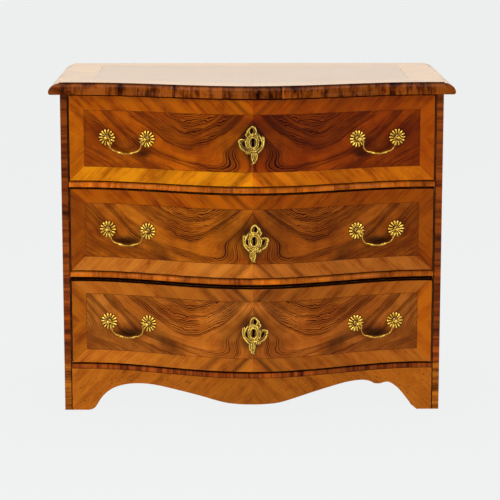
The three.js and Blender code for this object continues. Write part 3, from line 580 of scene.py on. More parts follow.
def cut_with(piece, outline, y0, y1, x=0.0, z=0.0):
    """Cuts a straight hole into a piece, along an outline of (x, z) points from y0 back to y1."""
    solid = Solid()
    solid.skin([[(x + u, y, z + v) for u, v in outline] for y in (y0, y1)])
    cutter = linked("cutter", solid.mesh("cutter"))
    boolean = piece.modifiers.new("cut", "BOOLEAN")
    boolean.operation = "DIFFERENCE"
    boolean.solver = "EXACT"
    boolean.object = cutter
    graph = bpy.context.evaluated_depsgraph_get()
    cut = bpy.data.meshes.new_from_object(piece.evaluated_get(graph))
    piece.modifiers.clear()
    piece.data = cut
    bpy.data.objects.remove(cutter)


def circle(count):
    """The turns of the points round a ring."""
    return [2 * math.pi * step / count for step in range(count)]


def hoop(solid, centre, across, out, radius, sides, tone_at, place=Vector):
    """A ring of points round a centre, with a tone for how far out each lies."""
    ring = []
    for turn in circle(sides):
        spot = centre + across * (radius * math.cos(turn)) + out * (radius * math.sin(turn))
        ring.append(solid.point(place(spot), tone=tone_at(math.sin(turn))))
    return ring


def quarter(steps, first=0):
    """The turns from none to a quarter."""
    return spread(0.0, math.pi / 2, steps, first)


def swell(x):
    """The serpentine curve: one cosine wave between the two straight ends."""
    if abs(x) >= SWELL_HALF:
        return 0.0
    return (1 + math.cos(math.pi * x / SWELL_HALF)) / 2


def face_y(x, bow=DRAWER_BOW):
    return STILE_Y - bow * swell(x)


def on_front(x, z, depth):
    """A place on the veneered front, or some depth behind it."""
    return Vector((x, face_y(x) - VENEER_PROUD + depth, z))


# Leaves of veneer

SAME_POINT = 6
SEED_SPREAD = 9


def grey(level):
    """A tone that makes a colour darker or lighter and keeps its hue."""
    return (level, level, level)


def tinted(tint, other):
    return tuple(part * factor for part, factor in zip(tint, other))


def split(outline, axis, level):
    """The parts of a convex outline up to a level along one axis, and past it."""
    low, high = [], []
    for here, there in zip(outline, outline[1:] + outline[:1]):
        start = here[axis] - level
        end = there[axis] - level
        if start <= 0:
            low.append(here)
        if start >= 0:
            high.append(here)
        if start * end < 0:
            cross = part_way(here, there, start / (start - end))
            low.append(cross)
            high.append(cross)
    return low, high


def cells(outline, pitch):
    """An outline cut into cells no larger than the pitch."""
    pieces = [list(outline)]
    for axis in (0, 1):
        cut = []
        for rest in pieces:
            places = [point[axis] for point in rest]
            level = math.floor(min(places) / pitch) * pitch + pitch
            while level < max(places) and len(rest) > 2:
                part, rest = split(rest, axis, level)
                cut.append(part)
                level += pitch
            cut.append(rest)
        pieces = [part for part in cut if len(part) > 2]
    return pieces


def inset(outline, distance):
    """A convex outline drawn in by a distance, its corners kept sharp."""
    moved = []
    for before, here, after in zip(outline[-1:] + outline[:-1], outline, outline[1:] + outline[:1]):
        arrive = (Vector(here) - Vector(before)).normalized()
        leave = (Vector(after) - Vector(here)).normalized()
        inward = Vector((-arrive.y - leave.y, arrive.x + leave.x))
        moved.append(tuple(Vector(here) + inward * (distance / (1 + arrive.dot(leave)))))
    return moved


def lay_leaf(solid, leaf, place, depth):
    """Lays one leaf on a surface, as a thin closed solid."""
    known = {}

    def corner(point, deep):
        key = (round(point[0], SAME_POINT), round(point[1], SAME_POINT), deep)
        if key not in known:
            grain, spot, wild = leaf.grain(*point)
            tone = tinted(leaf.tone, grey(leaf.shade(*point))) if leaf.shade else leaf.tone
            known[key] = solid.point(place(*point, deep), grain, tone, spot, wild)
        return known[key]

    edges = {}
    for cell in cells(inset(leaf.outline, GLUE_LINE / 2), CELL):
        face, back = (list(dict.fromkeys(corner(point, deep) for point in cell)) for deep in (0.0, depth))
        if len(face) < 3 or len(back) < 3:
            continue
        solid.faces.append(tuple(face))
        solid.faces.append(tuple(reversed(back)))
        for at in range(len(face)):
            edges[face[at - 1], face[at]] = (back[at - 1], back[at])
    for (start, end), (start_back, end_back) in edges.items():
        if (end, start) not in edges:
            solid.faces.append((end, start, start_back, end_back))


def lay_leaves(name, leaves, place, material, body, depth=VENEER, stands_for=()):
    """Makes one piece of some leaves laid on a surface."""
    solid = Solid()
    for leaf in leaves:
        lay_leaf(solid, leaf, place, depth)
    return make_piece(name, solid, material, body, stands_for)


def straight_grain(angle, seed):
    """Grain that runs straight at an angle, as a place along it and across it."""
    cos, sin = math.cos(angle), math.sin(angle)

    def grain(x, z):
        return (x * cos + z * sin, z * cos - x * sin, seed), (x, z, seed), 0.0

    return grain


def plain_leaf(outline, seed=1.0, tone=grey(1.0)):
    return Leaf(outline, straight_grain(0.0, seed), tone)


def box_outline(x0, x1, z0, z1):
    return [(x0, z0), (x1, z0), (x1, z1), (x0, z1)]


# The drawn flow of the book-matched panels, on one half: x from the seam, z from the panel's foot
SWAG_X = 0.075
SWAG_REACH = 0.083
SWAG_RISE = 0.06
OUTER_SLOPE = 0.5
OUTER_STEEPER = 0.22
STEEP_RISE = 0.09
INNER_SLOPE = 0.75
OUTER_ROUND = 0.038
INNER_ROUND = 0.055
FAR_OUT = 0.15
FAR_SLOPE = 0.3
SEAM_PEAK = 0.035
SEAM_WIDTH = 0.03
FLOW_LEAN = 3
WILD_X = 0.12
WILD_Z = 0.12
WILD_WIDTH = 0.1
WILD_HEIGHT = 0.06
CALM = 0.3
WILDEST = 0.7


def swag_flow(x, z):
    """How far a point lies across the flow, on a half panel."""
    away = x - SWAG_X - SWAG_REACH * smooth_share(z / SWAG_RISE)
    slope = INNER_SLOPE
    bend = INNER_ROUND
    if away > 0:
        slope = OUTER_SLOPE + OUTER_STEEPER * smooth_share(z / STEEP_RISE)
        bend = OUTER_ROUND
    rise = slope * (math.hypot(away, bend) - bend) + FAR_SLOPE * max(away - FAR_OUT, 0.0)
    return z - rise - SEAM_PEAK * math.exp(-x / SEAM_WIDTH)


def figured_grain(foot, seed, middle=0.0):
    """Mirrored flow about a panel's seam; its lower edge is at the height of its foot."""

    def grain(x, z):
        side = abs(x - middle)
        height = z - foot
        wild = bell(side - WILD_X, WILD_WIDTH) * bell(height - WILD_Z, WILD_HEIGHT)
        along = (side + height / FLOW_LEAN, swag_flow(side, height), seed)
        return along, (side, height, seed), CALM + WILDEST * wild

    return grain


# Tints of the leaves: the banding's parts, what its halves are multiplied by, and the two panels
Tints = namedtuple("Tints", "low top left right left_end right_end left_panel right_panel")
EVEN_TINTS = Tints(*[grey(1.0)] * 8)
# The upper bands are tinted darker, partly painted shade under the moulding and beads; the left halves and
# panels are tinted lighter, partly painted light falling from the left
DRAWER_TINTS = {
    "top_drawer": Tints(
        low=(1.11, 1.24, 0.58), top=(0.69, 0.52, 0.1), left=(1.06, 1.14, 1.0), right=(0.84, 0.7, 0.8),
        left_end=(0.82, 0.72, 0.12), right_end=(0.67, 0.43, 0.1),
        left_panel=(1.19, 1.14, 0.25), right_panel=(0.77, 0.53, 0.2),
    ),
    "middle_drawer": Tints(
        low=(0.81, 0.9, 3.3), top=(0.55, 0.42, 0.12), left=(1.06, 1.06, 1.06), right=(0.84, 0.78, 0.84),
        left_end=(0.42, 0.32, 0.25), right_end=(0.48, 0.36, 0.3),
        left_panel=(1.1, 1.34, 2.2), right_panel=(0.8, 0.87, 1.8),
    ),
    "bottom_drawer": Tints(
        low=(0.68, 0.7, 1.8), top=(0.6, 0.61, 1.77), left=(1.02, 1.02, 1.02), right=(0.9, 0.86, 0.9),
        left_end=(0.5, 0.47, 0.5), right_end=(0.68, 0.57, 0.5),
        left_panel=(1.12, 1.52, 5.5), right_panel=(0.96, 1.2, 4.5),
    ),
}
BAND_SPREAD = 0.06


def banded_leaves(x0, x1, z0, z1, band, chance, panel_grain, tints=EVEN_TINTS, shade=None):
    """Mitred crossbanding round a book-matched panel; its grain is mirrored each way."""
    xm, zm = (x0 + x1) / 2, (z0 + z1) / 2

    def rim(room):
        """The rectangle drawn in: its corners and middles, from the low left one round by the right."""
        low, top, left, right = z0 + room, z1 - room, x0 + room, x1 - room
        return ((left, low), (xm, low), (right, low), (right, zm),
                (right, top), (xm, top), (left, top), (left, zm))

    outer, inner, core = rim(0.0), rim(band), rim(band + STRINGING)
    rising = straight_grain(math.pi / 4, chance.random() * SEED_SPREAD)
    falling = straight_grain(-math.pi / 4, chance.random() * SEED_SPREAD)
    low, top, left, right, left_end, right_end, left_panel, right_panel = tints
    bands = []
    for at, grain, tint in (
        (0, rising, tinted(low, left)), (1, falling, tinted(low, right)),
        (5, falling, tinted(top, left)), (4, rising, tinted(top, right)),
        (7, rising, left_end), (6, falling, left_end),
        (2, falling, right_end), (3, rising, right_end),
    ):
        end = (at + 1) % len(outer)
        level = 1 + chance.uniform(-BAND_SPREAD, BAND_SPREAD)
        bands.append(Leaf([outer[at], outer[end], inner[end], inner[at]], grain, tinted(tint, grey(level))))
    strings = []
    for seed, (start, end) in enumerate(((0, 2), (4, 6), (6, 0), (2, 4)), SEEDS["strings"]):
        strings.append(plain_leaf([inner[start], inner[end], core[end], core[start]], seed))
    panels = [
        Leaf([core[0], core[1], core[5], core[6]], panel_grain, left_panel, shade),
        Leaf([core[1], core[2], core[4], core[5]], panel_grain, right_panel, shade),
    ]
    return bands, panels, strings


def lay_banded(label, bands, panels, strings, place, body):
    """The three pieces of a framed surface, named by a label with a gap for the part."""
    lay_leaves(label.format("banding"), bands, place, BAND, body)
    lay_leaves(label.format("stringing"), strings, place, STRING, body)
    return lay_leaves(label.format("panel_veneer"), panels, place, FIGURED, body)


# Drawer fronts

DRAWER_BAND = 0.037

# Keyholes, measured on the locks
KEY_ABOVE_LOCK_FOOT = 0.038
KEY_TOP_RADIUS = 0.00425
KEY_FOOT_RADIUS = 0.0038
KEY_SLOT_WIDTH = 0.0056
KEY_TOP_RISE = 0.006
KEY_FOOT_DROP = 0.0065
KEY_STEPS = 16
KEY_ROOM = 0.012

# Dark edges of the drawer fronts, painted shade of the gaps round them
EDGE_SIDE = 0.0008
EDGE_FOOTS = {"top_drawer": 0.0015, "middle_drawer": 0.0015, "bottom_drawer": 0.0032}
EDGE_TOPS = {"top_drawer": 0.0015, "middle_drawer": 0.0025, "bottom_drawer": 0.0055}

# Dark patches on the panels: painted shadow and wear under the bails, and darker and lighter patches in the
# wood: place out from the seam and below the pins, half sizes, tilt and depth; a patch with its depth below
# zero is lighter
ShadowAndStain = namedtuple("ShadowAndStain", "out below wide high tilt depth")
SHADOWS_AND_STAINS = {
    "top_drawer": [
        ShadowAndStain(0.272, 0.038, 0.02, 0.01, 0.0, 0.85),
        ShadowAndStain(0.325, 0.02, 0.055, 0.018, 0.5, 0.45),
        ShadowAndStain(0.15, -0.015, 0.08, 0.04, 0.0, 0.25),
        ShadowAndStain(0.05, -0.01, 0.045, 0.07, 0.0, 0.45),
    ],
    "middle_drawer": [
        ShadowAndStain(0.312, 0.029, 0.036, 0.013, 0.0, 0.85),
        ShadowAndStain(0.312, 0.01, 0.06, 0.035, 0.0, 0.12),
        ShadowAndStain(0.23, 0.054, 0.045, 0.015, 0.6, 0.5),
        ShadowAndStain(0.05, -0.01, 0.045, 0.07, 0.0, 0.35),
    ],
    "bottom_drawer": [
        ShadowAndStain(0.312, 0.029, 0.036, 0.013, 0.0, 0.85),
        ShadowAndStain(0.312, 0.012, 0.035, 0.02, 0.0, 0.1),
        ShadowAndStain(0.213, 0.05, 0.055, 0.018, 0.7, 0.5),
        ShadowAndStain(0.15, -0.015, 0.075, 0.035, 0.0, -0.22),
        ShadowAndStain(0.13, 0.058, 0.05, 0.026, 0.0, -0.15),
        ShadowAndStain(0.05, 0.0, 0.045, 0.07, 0.0, 0.33),
        ShadowAndStain(0.41, 0.0, 0.05, 0.1, 0.0, 0.18),
    ],
}
# Painted shade and dirt round an escutcheon and in its piercings: half sizes, tilt and depth
KEY_SHADE_PATCH = (0.029, 0.047, 0.0, 0.9)

# Streaks across the banding, mirrored about the seam: distance from it, half width, and depth
STREAKS = [
    (0.02, 0.02, -0.15), (0.05, 0.008, 0.55), (0.078, 0.007, 0.3), (0.13, 0.012, 0.26), (0.24, 0.018, 0.2),
]
# Painted shade and light: the banding's level from the seam out to its reach, darker in the bottom drawer's
# middle and lighter at its ends, as light falls on the curved front
BAND_REACH = 0.36
BAND_SHADE_LEVELS = {"top_drawer": (1.0, 1.0), "middle_drawer": (1.0, 1.0), "bottom_drawer": (0.79, 1.1)}


def key_place(drawer):
    """The middle of a drawer's keyhole, along the front and up."""
    bolt_low, bolt_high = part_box(f"{drawer}_lock_bolt")
    return (bolt_low.x + bolt_high.x) / 2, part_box(f"{drawer}_lock_case")[0].z + KEY_ABOVE_LOCK_FOOT


def keyhole_outline():
    """The keyhole's outline round its middle, counter-clockwise."""
    half = KEY_SLOT_WIDTH / 2
    top_bite = math.asin(half / KEY_TOP_RADIUS)
    foot_bite = math.asin(half / KEY_FOOT_RADIUS)
    outline = []
    for centre, radius, start, end in (
        (KEY_TOP_RISE, KEY_TOP_RADIUS, top_bite - math.pi / 2, math.pi * 3 / 2 - top_bite),
        (-KEY_FOOT_DROP, KEY_FOOT_RADIUS, math.pi / 2 + foot_bite, math.pi * 5 / 2 - foot_bite),
    ):
        for turn in spread(start, end, KEY_STEPS):
            u, v = spoke(turn, radius, radius)
            outline.append((u, centre + v))
    return outline


def band_streaks(drawer, low, high):
    """How much light the banding keeps across its diagonal streaks, and its painted shade and light from the
    seam to its ends.
    """
    middle = (low.z + high.z) / 2

    def shade(x, z):
        away = abs(x) + abs(z - (low.z if z < middle else high.z))
        level = lerp(*BAND_SHADE_LEVELS[drawer], smooth_share(abs(x) / BAND_REACH))
        for place, half, depth in STREAKS:
            level -= depth * bell(away - place, half)
        return level

    return shade


def pin_height(drawer):
    """The height of a drawer's bail pins."""
    low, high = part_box(f"{drawer}_left_rosette_outer")
    return (low.z + high.z) / 2


def panel_shadows_and_stains(drawer):
    """How much light the panel keeps across its patches, with painted shadow and wear under the bails and
    painted shade and dirt round the escutcheon.
    """
    pins = pin_height(drawer)
    key_x, key_z = key_place(drawer)
    patches = [*SHADOWS_AND_STAINS[drawer], ShadowAndStain(abs(key_x), pins - key_z, *KEY_SHADE_PATCH)]

    def shade(x, z):
        level = 1.0
        for patch in patches:
            away = Vector((abs(x) - patch.out, z - pins + patch.below))
            away.rotate(Matrix.Rotation(-patch.tilt, 2))
            reach = (away.x / patch.wide) ** 2 + (away.y / patch.high) ** 2
            level *= 1 - patch.depth * math.exp(-reach * reach)
        return level

    return shade


def clipped(leaf, x0, x1, z0, z1):
    """A leaf cut back to a rectangle."""
    outline = leaf.outline
    for axis, level, past in ((0, x0, 1), (0, x1, 0), (1, z0, 1), (1, z1, 0)):
        outline = split(outline, axis, level)[past]
    return leaf._replace(outline=list(dict.fromkeys(outline)))


def drawer_veneers(drawer, seed):
    """A drawer front's dark rim, painted shade of the gap round it, and its banded, book-matched veneer
    within that.
    """
    low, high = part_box(f"{drawer}_front")
    x0, x1 = low.x + EDGE_SIDE, high.x - EDGE_SIDE
    z0, z1 = low.z + EDGE_FOOTS[drawer], high.z - EDGE_TOPS[drawer]
    # Painted shade: the dark rims stand for the shadowed gaps round the drawer
    rims = (low.x, x0, low.z, high.z), (x1, high.x, low.z, high.z), (x0, x1, low.z, z0), (x0, x1, z1, high.z)
    rims = [plain_leaf(box_outline(*rim)) for rim in rims]
    lay_leaves(f"{drawer}_gap_shade_edges", rims, on_front, SHADOW, drawer)
    panel_grain = figured_grain(low.z + DRAWER_BAND, seed)
    bands, panels, strings = banded_leaves(
        low.x, high.x, low.z, high.z, DRAWER_BAND, random.Random(seed), panel_grain,
        DRAWER_TINTS[drawer], panel_shadows_and_stains(drawer),
    )
    streaks = band_streaks(drawer, low, high)
    bands = [clipped(leaf, x0, x1, z0, z1)._replace(shade=streaks) for leaf in bands]
    panel = lay_banded(drawer + "_{}", bands, panels, strings, on_front, drawer)
    cut_with(panel, keyhole_outline(), low.y - DRAWER_BAND, STILE_Y, *key_place(drawer))


def darken_front(drawer):
    """The upper edge of a drawer front, dark with dust, old varnish and painted shade of the gap above it,
    and its keyhole's walls, black with painted shade.
    """
    mesh = frame["nodes"][f"{drawer}_front"].data
    key = Vector(key_place(drawer))
    repaint(mesh, SHADED_AND_STAINED, lambda face: face.normal.z > UPWARD)
    repaint(mesh, SHADOW, lambda face: (face.center.xz - key).length < KEY_ROOM)


def darken_lock(drawer):
    """The lock's face, painted black as shade where it shows through the keyhole."""
    repaint(frame["nodes"][f"{drawer}_lock_case"].data, SHADOW, lambda face: face.normal.y < -UPWARD)


# Sides and stiles

SIDE_BAND = 0.045
SIDE_FOOT_WIDTH = 0.07
SIDE_ARCH = 0.072
ARCH_STEPS = 16
FOOT_ROWS = 8
STILE_EDGE = 0.0022
STILE_PIECES = (0.045, 0.095)
STILE_WANDER = 0.08
STILE_FOOT_TINT = (1.3, 2.0, 1.6)
STILE_LEVELS = (0.86, 0.68)
TONE_SPREAD = 0.3


def columns(solid, line, top, rows, place, grain, level_at, depth=VENEER):
    """A thin closed sheet that stands on a line of (u, z) points and ends at one height."""
    front, back = [], []
    for u, foot in line:
        for stack, deep in ((front, 0.0), (back, depth)):
            stack.append([])
            for z in spread(foot, top, rows):
                fibre, spot, wild = grain(u, z)
                stack[-1].append(solid.point(place(u, z, deep), fibre, grey(level_at(u)), spot, wild))
    for at in range(1, len(line)):
        for row in range(1, rows + 1):
            for stack in (front, back):
                here, there = stack[at - 1], stack[at]
                solid.faces.append((here[row - 1], there[row - 1], there[row], here[row]))
        for row in (0, rows):
            solid.faces.append((front[at - 1][row], front[at][row], back[at][row], back[at - 1][row]))
    for at in (0, -1):
        for row in range(rows):
            solid.faces.append((front[at][row], front[at][row + 1], back[at][row + 1], back[at][row]))


def filled_line(line, pitch):
    """A line of points with more points set between those that lie far apart."""
    filled = [line[0]]
    for here, there in zip(line, line[1:]):
        parts = max(1, math.ceil((there[0] - here[0]) / pitch))
        filled += [part_way(here, there, share) for share in spread(0.0, 1.0, parts, 1)]
    return filled


def side_foot_line():
    """The lower edge of a side from the front foot to the back one, as (y, z) points."""

    def bend(start, way):
        """A Bezier curve that rises steeply from a foot and ends level."""
        line = []
        for t in spread(0.0, 1.0, ARCH_STEPS):
            y = 3 * (1 - t) ** 2 * t / 2 + 3 * (1 - t) * t * t / 4 + t**3
            z = 3 * (1 - t) * t * t + t**3
            line.append((start + way * SIDE_ARCH * y, SIDE_ARCH * z))
        return line

    back = reversed(bend(BACK_Y - SIDE_FOOT_WIDTH, -1))
    return [(STILE_Y, 0.0), *bend(STILE_Y + SIDE_FOOT_WIDTH, 1), *back, (BACK_Y, 0.0)]


def side_veneers(name, sign):
    """Banded, book-matched veneer on a side, and plain veneer down to its feet."""
    place = lambda u, z, depth: Vector((sign * (HALF_WIDTH + VENEER - depth), sign * u, z))
    u0, u1 = sorted((sign * STILE_Y, sign * BACK_Y))
    grain = figured_grain(BAY_FLOOR + SIDE_BAND, SEEDS["side_panel"] + sign, (u0 + u1) / 2)
    chance = random.Random(SEEDS["side_bands"] + sign)
    leaves = banded_leaves(u0, u1, BAY_FLOOR, SIDE_HIGH.z, SIDE_BAND, chance, grain)
    lay_banded("side_{}_" + name, *leaves, place, "case")
    line = filled_line(sorted((sign * y, z) for y, z in side_foot_line()), CELL)
    solid = Solid()
    grain = straight_grain(math.pi / 4, SEEDS["side_foot"] + sign)
    columns(solid, line, BAY_FLOOR - GLUE_LINE, FOOT_ROWS, place, grain, lambda u: 1.0)
    make_piece(f"side_foot_veneer_{name}", solid, APRON_VENEER, "case")


def segment_lengths(total, shortest, longest, chance):
    """Breaks a length into uneven segments."""
    cuts = [0.0]
    while total - cuts[-1] > longest:
        cuts.append(cuts[-1] + chance.uniform(shortest, longest))
    return [*cuts, total]


def stile_veneers(name, sign):
    """Short cross-grained pieces down the front edge of a side, and the dark line beside them, painted shade
    of the gap at the drawers.
    """
    chance = random.Random(SEEDS["stile"] + sign)
    place = lambda x, z, depth: Vector((x, STILE_Y - VENEER_PROUD + depth, z))
    thin = VENEER_PROUD - FIT
    edge = sign * (INNER_HALF + STILE_EDGE)
    line = plain_leaf(box_outline(*sorted((sign * INNER_HALF, edge)), 0.0, SIDE_HIGH.z))
    # Painted shade of the gap between the stile and the drawers
    lay_leaves(f"stile_gap_shade_{name}", [line], place, SHADOW, "case", thin)
    cuts = segment_lengths(BAY_FLOOR, *STILE_PIECES, chance)
    for cut in segment_lengths(SIDE_HIGH.z - BAY_FLOOR, *STILE_PIECES, chance)[1:]:
        cuts.append(BAY_FLOOR + cut)
    leaves = []
    for low, high in zip(cuts, cuts[1:]):
        tint = STILE_FOOT_TINT if low < BAY_FLOOR - FIT else grey(lerp(*STILE_LEVELS, low / SIDE_HIGH.z))
        tone = tinted(tint, grey(1 + chance.uniform(-TONE_SPREAD, TONE_SPREAD)))
        grain = straight_grain(chance.uniform(-STILE_WANDER, STILE_WANDER), chance.random() * SEED_SPREAD)
        outline = box_outline(*sorted((sign * (HALF_WIDTH + VENEER), edge)), low, high)
        leaves.append(Leaf(outline, grain, tone))
    lay_leaves(f"stile_veneer_{name}", leaves, place, STILE, "case", thin)


# Swept mouldings, made of short cross-grained pieces

SEGMENT_GAP = 0.00015
# Painted shade: the tone of the profile points under the top moulding's lip and along the base band's foot
SHADED = (0.35, 0.35, 0.35)
FILLET_SHADE_POINTS = (3, 4, 5, 6, 7)
FILLET_WIDTH = 0.002
FILLET_DROP = 0.002
NOSE_HEIGHT = 0.006
OVOLO_STEPS = 14
NOSE_STEPS = 8
FRONT_MOULDING_PIECES = (0.028, 0.085)
SIDE_MOULDING_PIECES = (0.03, 0.09)
BEAD_PROUD = 0.007
STRIP_SEAT = 0.005
BEAD_SHOULDER = 0.001
BEAD_STEPS = 16
STRIP_PIECES = (0.03, 0.11)
BEAD_LEVELS = {"bead_upper": (1.45, 0.8), "bead_lower": (1.0, 0.85)}
BAND_PROUD = 0.0024
BAND_EASE = 0.0008
BAND_FOOT_LINE = 0.0026
BAND_FOOT_SHADE_POINTS = (5, 6)
BASE_BAND_LEVELS = (0.85, 0.8)


def sweep_segments(name, stations, ring_at, material, seed, lengths, levels=(1.0, 1.0), shades=()):
    """Sweeps a profile along between its stations, cut into cross-grained segments.

    The levels make it lighter or darker at its start and end; the shaded profile points are darkened as
    painted shade.
    """
    chance = random.Random(seed)
    start, end = stations
    solid = Solid()
    cuts = segment_lengths(end - start, *lengths, chance)
    for low, high in zip(cuts, cuts[1:]):
        level = lerp(*levels, (low + high) / 2 / (end - start))
        tone = grey(level * (1 + chance.uniform(-TONE_SPREAD, TONE_SPREAD)))
        twist = chance.random() * SEED_SPREAD
        steps = max(2, math.ceil((high - low) / CELL))
        rings = []
        for at in spread(start + low + SEGMENT_GAP, start + high - SEGMENT_GAP, steps):
            ring = []
            round_it = 0.0
            places = ring_at(at)
            for side, place in enumerate(places):
                if side:
                    round_it += (place - places[side - 1]).length
                shade = tinted(tone, SHADED) if side in shades else tone
                ring.append(solid.point(place, (round_it, at, twist), shade))
            rings.append(ring)
        solid.rings(rings)
    return make_piece(f"{name}_fine", solid, material, "case", [name])


def top_profile():
    """The moulding's outline as (proud, height) points, from its inner foot round to its nose."""
    thickness = TOP_HIGH.z - TOP_LOW.z
    profile = [(0.0, 0.0), (0.0, thickness), (FILLET_WIDTH - FIT, thickness), (FILLET_WIDTH, thickness - FIT)]
    wide = TOP_OVERHANG - FILLET_WIDTH
    high = thickness - FILLET_DROP - NOSE_HEIGHT
    for turn in quarter(OVOLO_STEPS):
        profile.append((FILLET_WIDTH + wide * math.sin(turn), NOSE_HEIGHT + high * math.cos(turn)))
    for turn in quarter(NOSE_STEPS, 1):
        proud = TOP_OVERHANG - NOSE_HEIGHT * (1 - math.cos(turn))
        profile.append((proud, NOSE_HEIGHT * (1 - math.sin(turn))))
    return profile


def top_mouldings():
    """The moulding round the top, mitred at its front corners."""
    profile = top_profile()
    mitre = SEGMENT_GAP * 2

    def front_ring(at):
        ring = []
        for proud, height in profile:
            x = math.copysign(HALF_WIDTH + proud, at) if abs(at) > HALF_WIDTH - mitre else at
            ring.append(Vector((x, face_y(at, TOP_BOW) - proud, TOP_LOW.z + height)))
        return ring

    sweep_segments("top_moulding_front", (-HALF_WIDTH, HALF_WIDTH), front_ring, CROSS,
                   SEEDS["front_moulding"], FRONT_MOULDING_PIECES, shades=FILLET_SHADE_POINTS)
    for name, sign in SIDES.items():

        def side_ring(at, sign=sign):
            ring = []
            for proud, height in profile:
                y = at - proud if at < STILE_Y + mitre else at
                ring.append(Vector((sign * (HALF_WIDTH + proud), y, TOP_LOW.z + height)))
            return ring

        piece = sweep_segments(f"top_moulding_{name}", (STILE_Y, TOP_HIGH.y), side_ring, CROSS,
                               SEEDS["side_moulding"] + sign, SIDE_MOULDING_PIECES)
        repaint(piece.data, TOP_VENEER, lambda face: face.normal.z > UPWARD)


def front_strip(name, profile, material, levels, shades=()):
    """A strip that follows the drawer fronts, with a profile of (proud, z) points."""
    low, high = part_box(name)
    ring = lambda at: [Vector((at, face_y(at) - proud, z)) for proud, z in profile]
    sweep_segments(name, (low.x, high.x), ring, material, SEEDS[name], STRIP_PIECES, levels, shades)


def bead(name):
    low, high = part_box(name)
    profile = [(-STRIP_SEAT, low.z), (-STRIP_SEAT, high.z)]
    for turn in spread(0.0, math.pi, BEAD_STEPS):
        proud = BEAD_SHOULDER + (BEAD_PROUD - BEAD_SHOULDER) * math.sin(turn)
        profile.append((proud, high.z - (high.z - low.z) / 2 * (1 - math.cos(turn))))
    front_strip(name, profile, BEAD, BEAD_LEVELS[name])


def base_band():
    low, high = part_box("base_band")
    profile = [
        (-STRIP_SEAT, low.z),
        (-STRIP_SEAT, high.z),
        (BAND_PROUD - BAND_EASE, high.z),
        (BAND_PROUD, high.z - BAND_EASE),
        (BAND_PROUD, low.z + BAND_FOOT_LINE),
        (BAND_PROUD, low.z + BAND_EASE),
        (BAND_PROUD - BAND_EASE, low.z),
    ]
    front_strip("base_band", profile, STILE, BASE_BAND_LEVELS, BAND_FOOT_SHADE_POINTS)


# Top board

TOP_BAND = 0.08
FIELD_TINT = (0.8, 0.83, 1.3)
TOP_TINTS = EVEN_TINTS._replace(left_panel=FIELD_TINT, right_panel=FIELD_TINT)
TOP_STRING_TONE = (0.45, 0.4, 0.3)
CORE_STEPS = 96
BOLT_ROOM = 0.0005
BOLT_REACH = 0.0135


def top_surface():
    """The top: banded veneer over a softwood core that keeps the bolt's pocket."""
    depth = TOP_HIGH.y - (STILE_Y - TOP_BOW)
    half = HALF_WIDTH + GLUE_LINE / 2

    def place(x, v, deep):
        return Vector((x, lerp(face_y(x, TOP_BOW), TOP_HIGH.y, v / depth), TOP_HIGH.z - deep))

    bands, panels, strings = banded_leaves(
        -half, half, 0.0, depth, TOP_BAND, random.Random(SEEDS["top"]),
        straight_grain(0.0, SEEDS["top_grain"]), TOP_TINTS,
    )
    leaves = bands + panels + [string._replace(tone=TOP_STRING_TONE) for string in strings]
    lay_leaves("top_veneer", leaves, place, TOP_VENEER, "case", stands_for=["top_board"])
    solid = Solid()
    rings = []
    for x in spread(-HALF_WIDTH + FIT, HALF_WIDTH - FIT, CORE_STEPS):
        outline = box_outline(face_y(x, TOP_BOW) + FIT, TOP_HIGH.y, TOP_LOW.z, TOP_HIGH.z - VENEER)
        rings.append([solid.point(Vector((x, y, z)), (x, y, z)) for y, z in outline])
    solid.rings(rings)
    core = make_piece("top_core", solid, PINE_X, "case", ["top_board"])
    low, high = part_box("top_drawer_lock_bolt")
    pocket = box_outline(low.x - BOLT_ROOM, high.x + BOLT_ROOM, high.z, high.z + BOLT_REACH)
    cut_with(core, pocket, low.y - BOLT_ROOM, high.y + BOLT_ROOM)


# Apron

APRON_LEFT_SHARES = [
    (-0.907, 0), (-0.875, 0.065), (-0.84, 0.29), (-0.81, 0.43), (-0.766, 0.56), (-0.7, 0.66),
    (-0.63, 0.705), (-0.55, 0.71), (-0.45, 0.66), (-0.3, 0.555), (-0.16, 0.425), (-0.08, 0.39),
]
APRON_RIGHT_SHARES = [
    (0, 0.382), (0.08, 0.39), (0.16, 0.425), (0.31, 0.585), (0.42, 0.69), (0.515, 0.765),
    (0.587, 0.785), (0.628, 0.77), (0.658, 0.725), (0.68, 0.675), (0.71, 0.66), (0.735, 0.685),
    (0.76, 0.68), (0.785, 0.62), (0.82, 0.49), (0.872, 0.21), (0.888, 0.115), (0.92, 0),
]
APRON_THICKNESS = 0.018
APRON_ROWS = 8
CORE_ROWS = 2
CURVE_STEPS = 8
APRON_MIDDLE_LEVEL = 0.6
APRON_END_LEVEL = 0.88
SEAM_OVERLAP = 1e-6
WORM_HOLES = 90
WORM_HOLE_SIZES = (0.0007, 0.0015)
WORM_HOLE_SIDES = 8
WORM_HOLE_MARGIN = 0.004
WORM_HOLE_PROUD = 0.00004


def spline(knots, steps):
    """Points on the smooth curve through some knots."""
    line = []
    for at, (here, there) in enumerate(zip(knots, knots[1:])):
        before = knots[max(at - 1, 0)]
        after = knots[min(at + 2, len(knots) - 1)]
        for t in spread(0.0, 1.0, steps)[:-1]:
            point = []
            for v_before, v_here, v_there, v_after in zip(before, here, there, after):
                start = (v_there - v_before) / 2
                end = (v_after - v_here) / 2
                gap = v_there - v_here
                curve = (start + end - 2 * gap) * t**3 + (3 * gap - 2 * start - end) * t * t + start * t
                point.append(curve + v_here)
            line.append(tuple(point))
    return [*line, knots[-1]]


def oval(u, v, wide, high, tilt=0.0, steps=20):
    cos, sin = math.cos(tilt), math.sin(tilt)
    outline = []
    for turn in circle(steps):
        a, b = spoke(turn, wide, high)
        outline.append((u + a * cos - b * sin, v + a * sin + b * cos))
    return outline


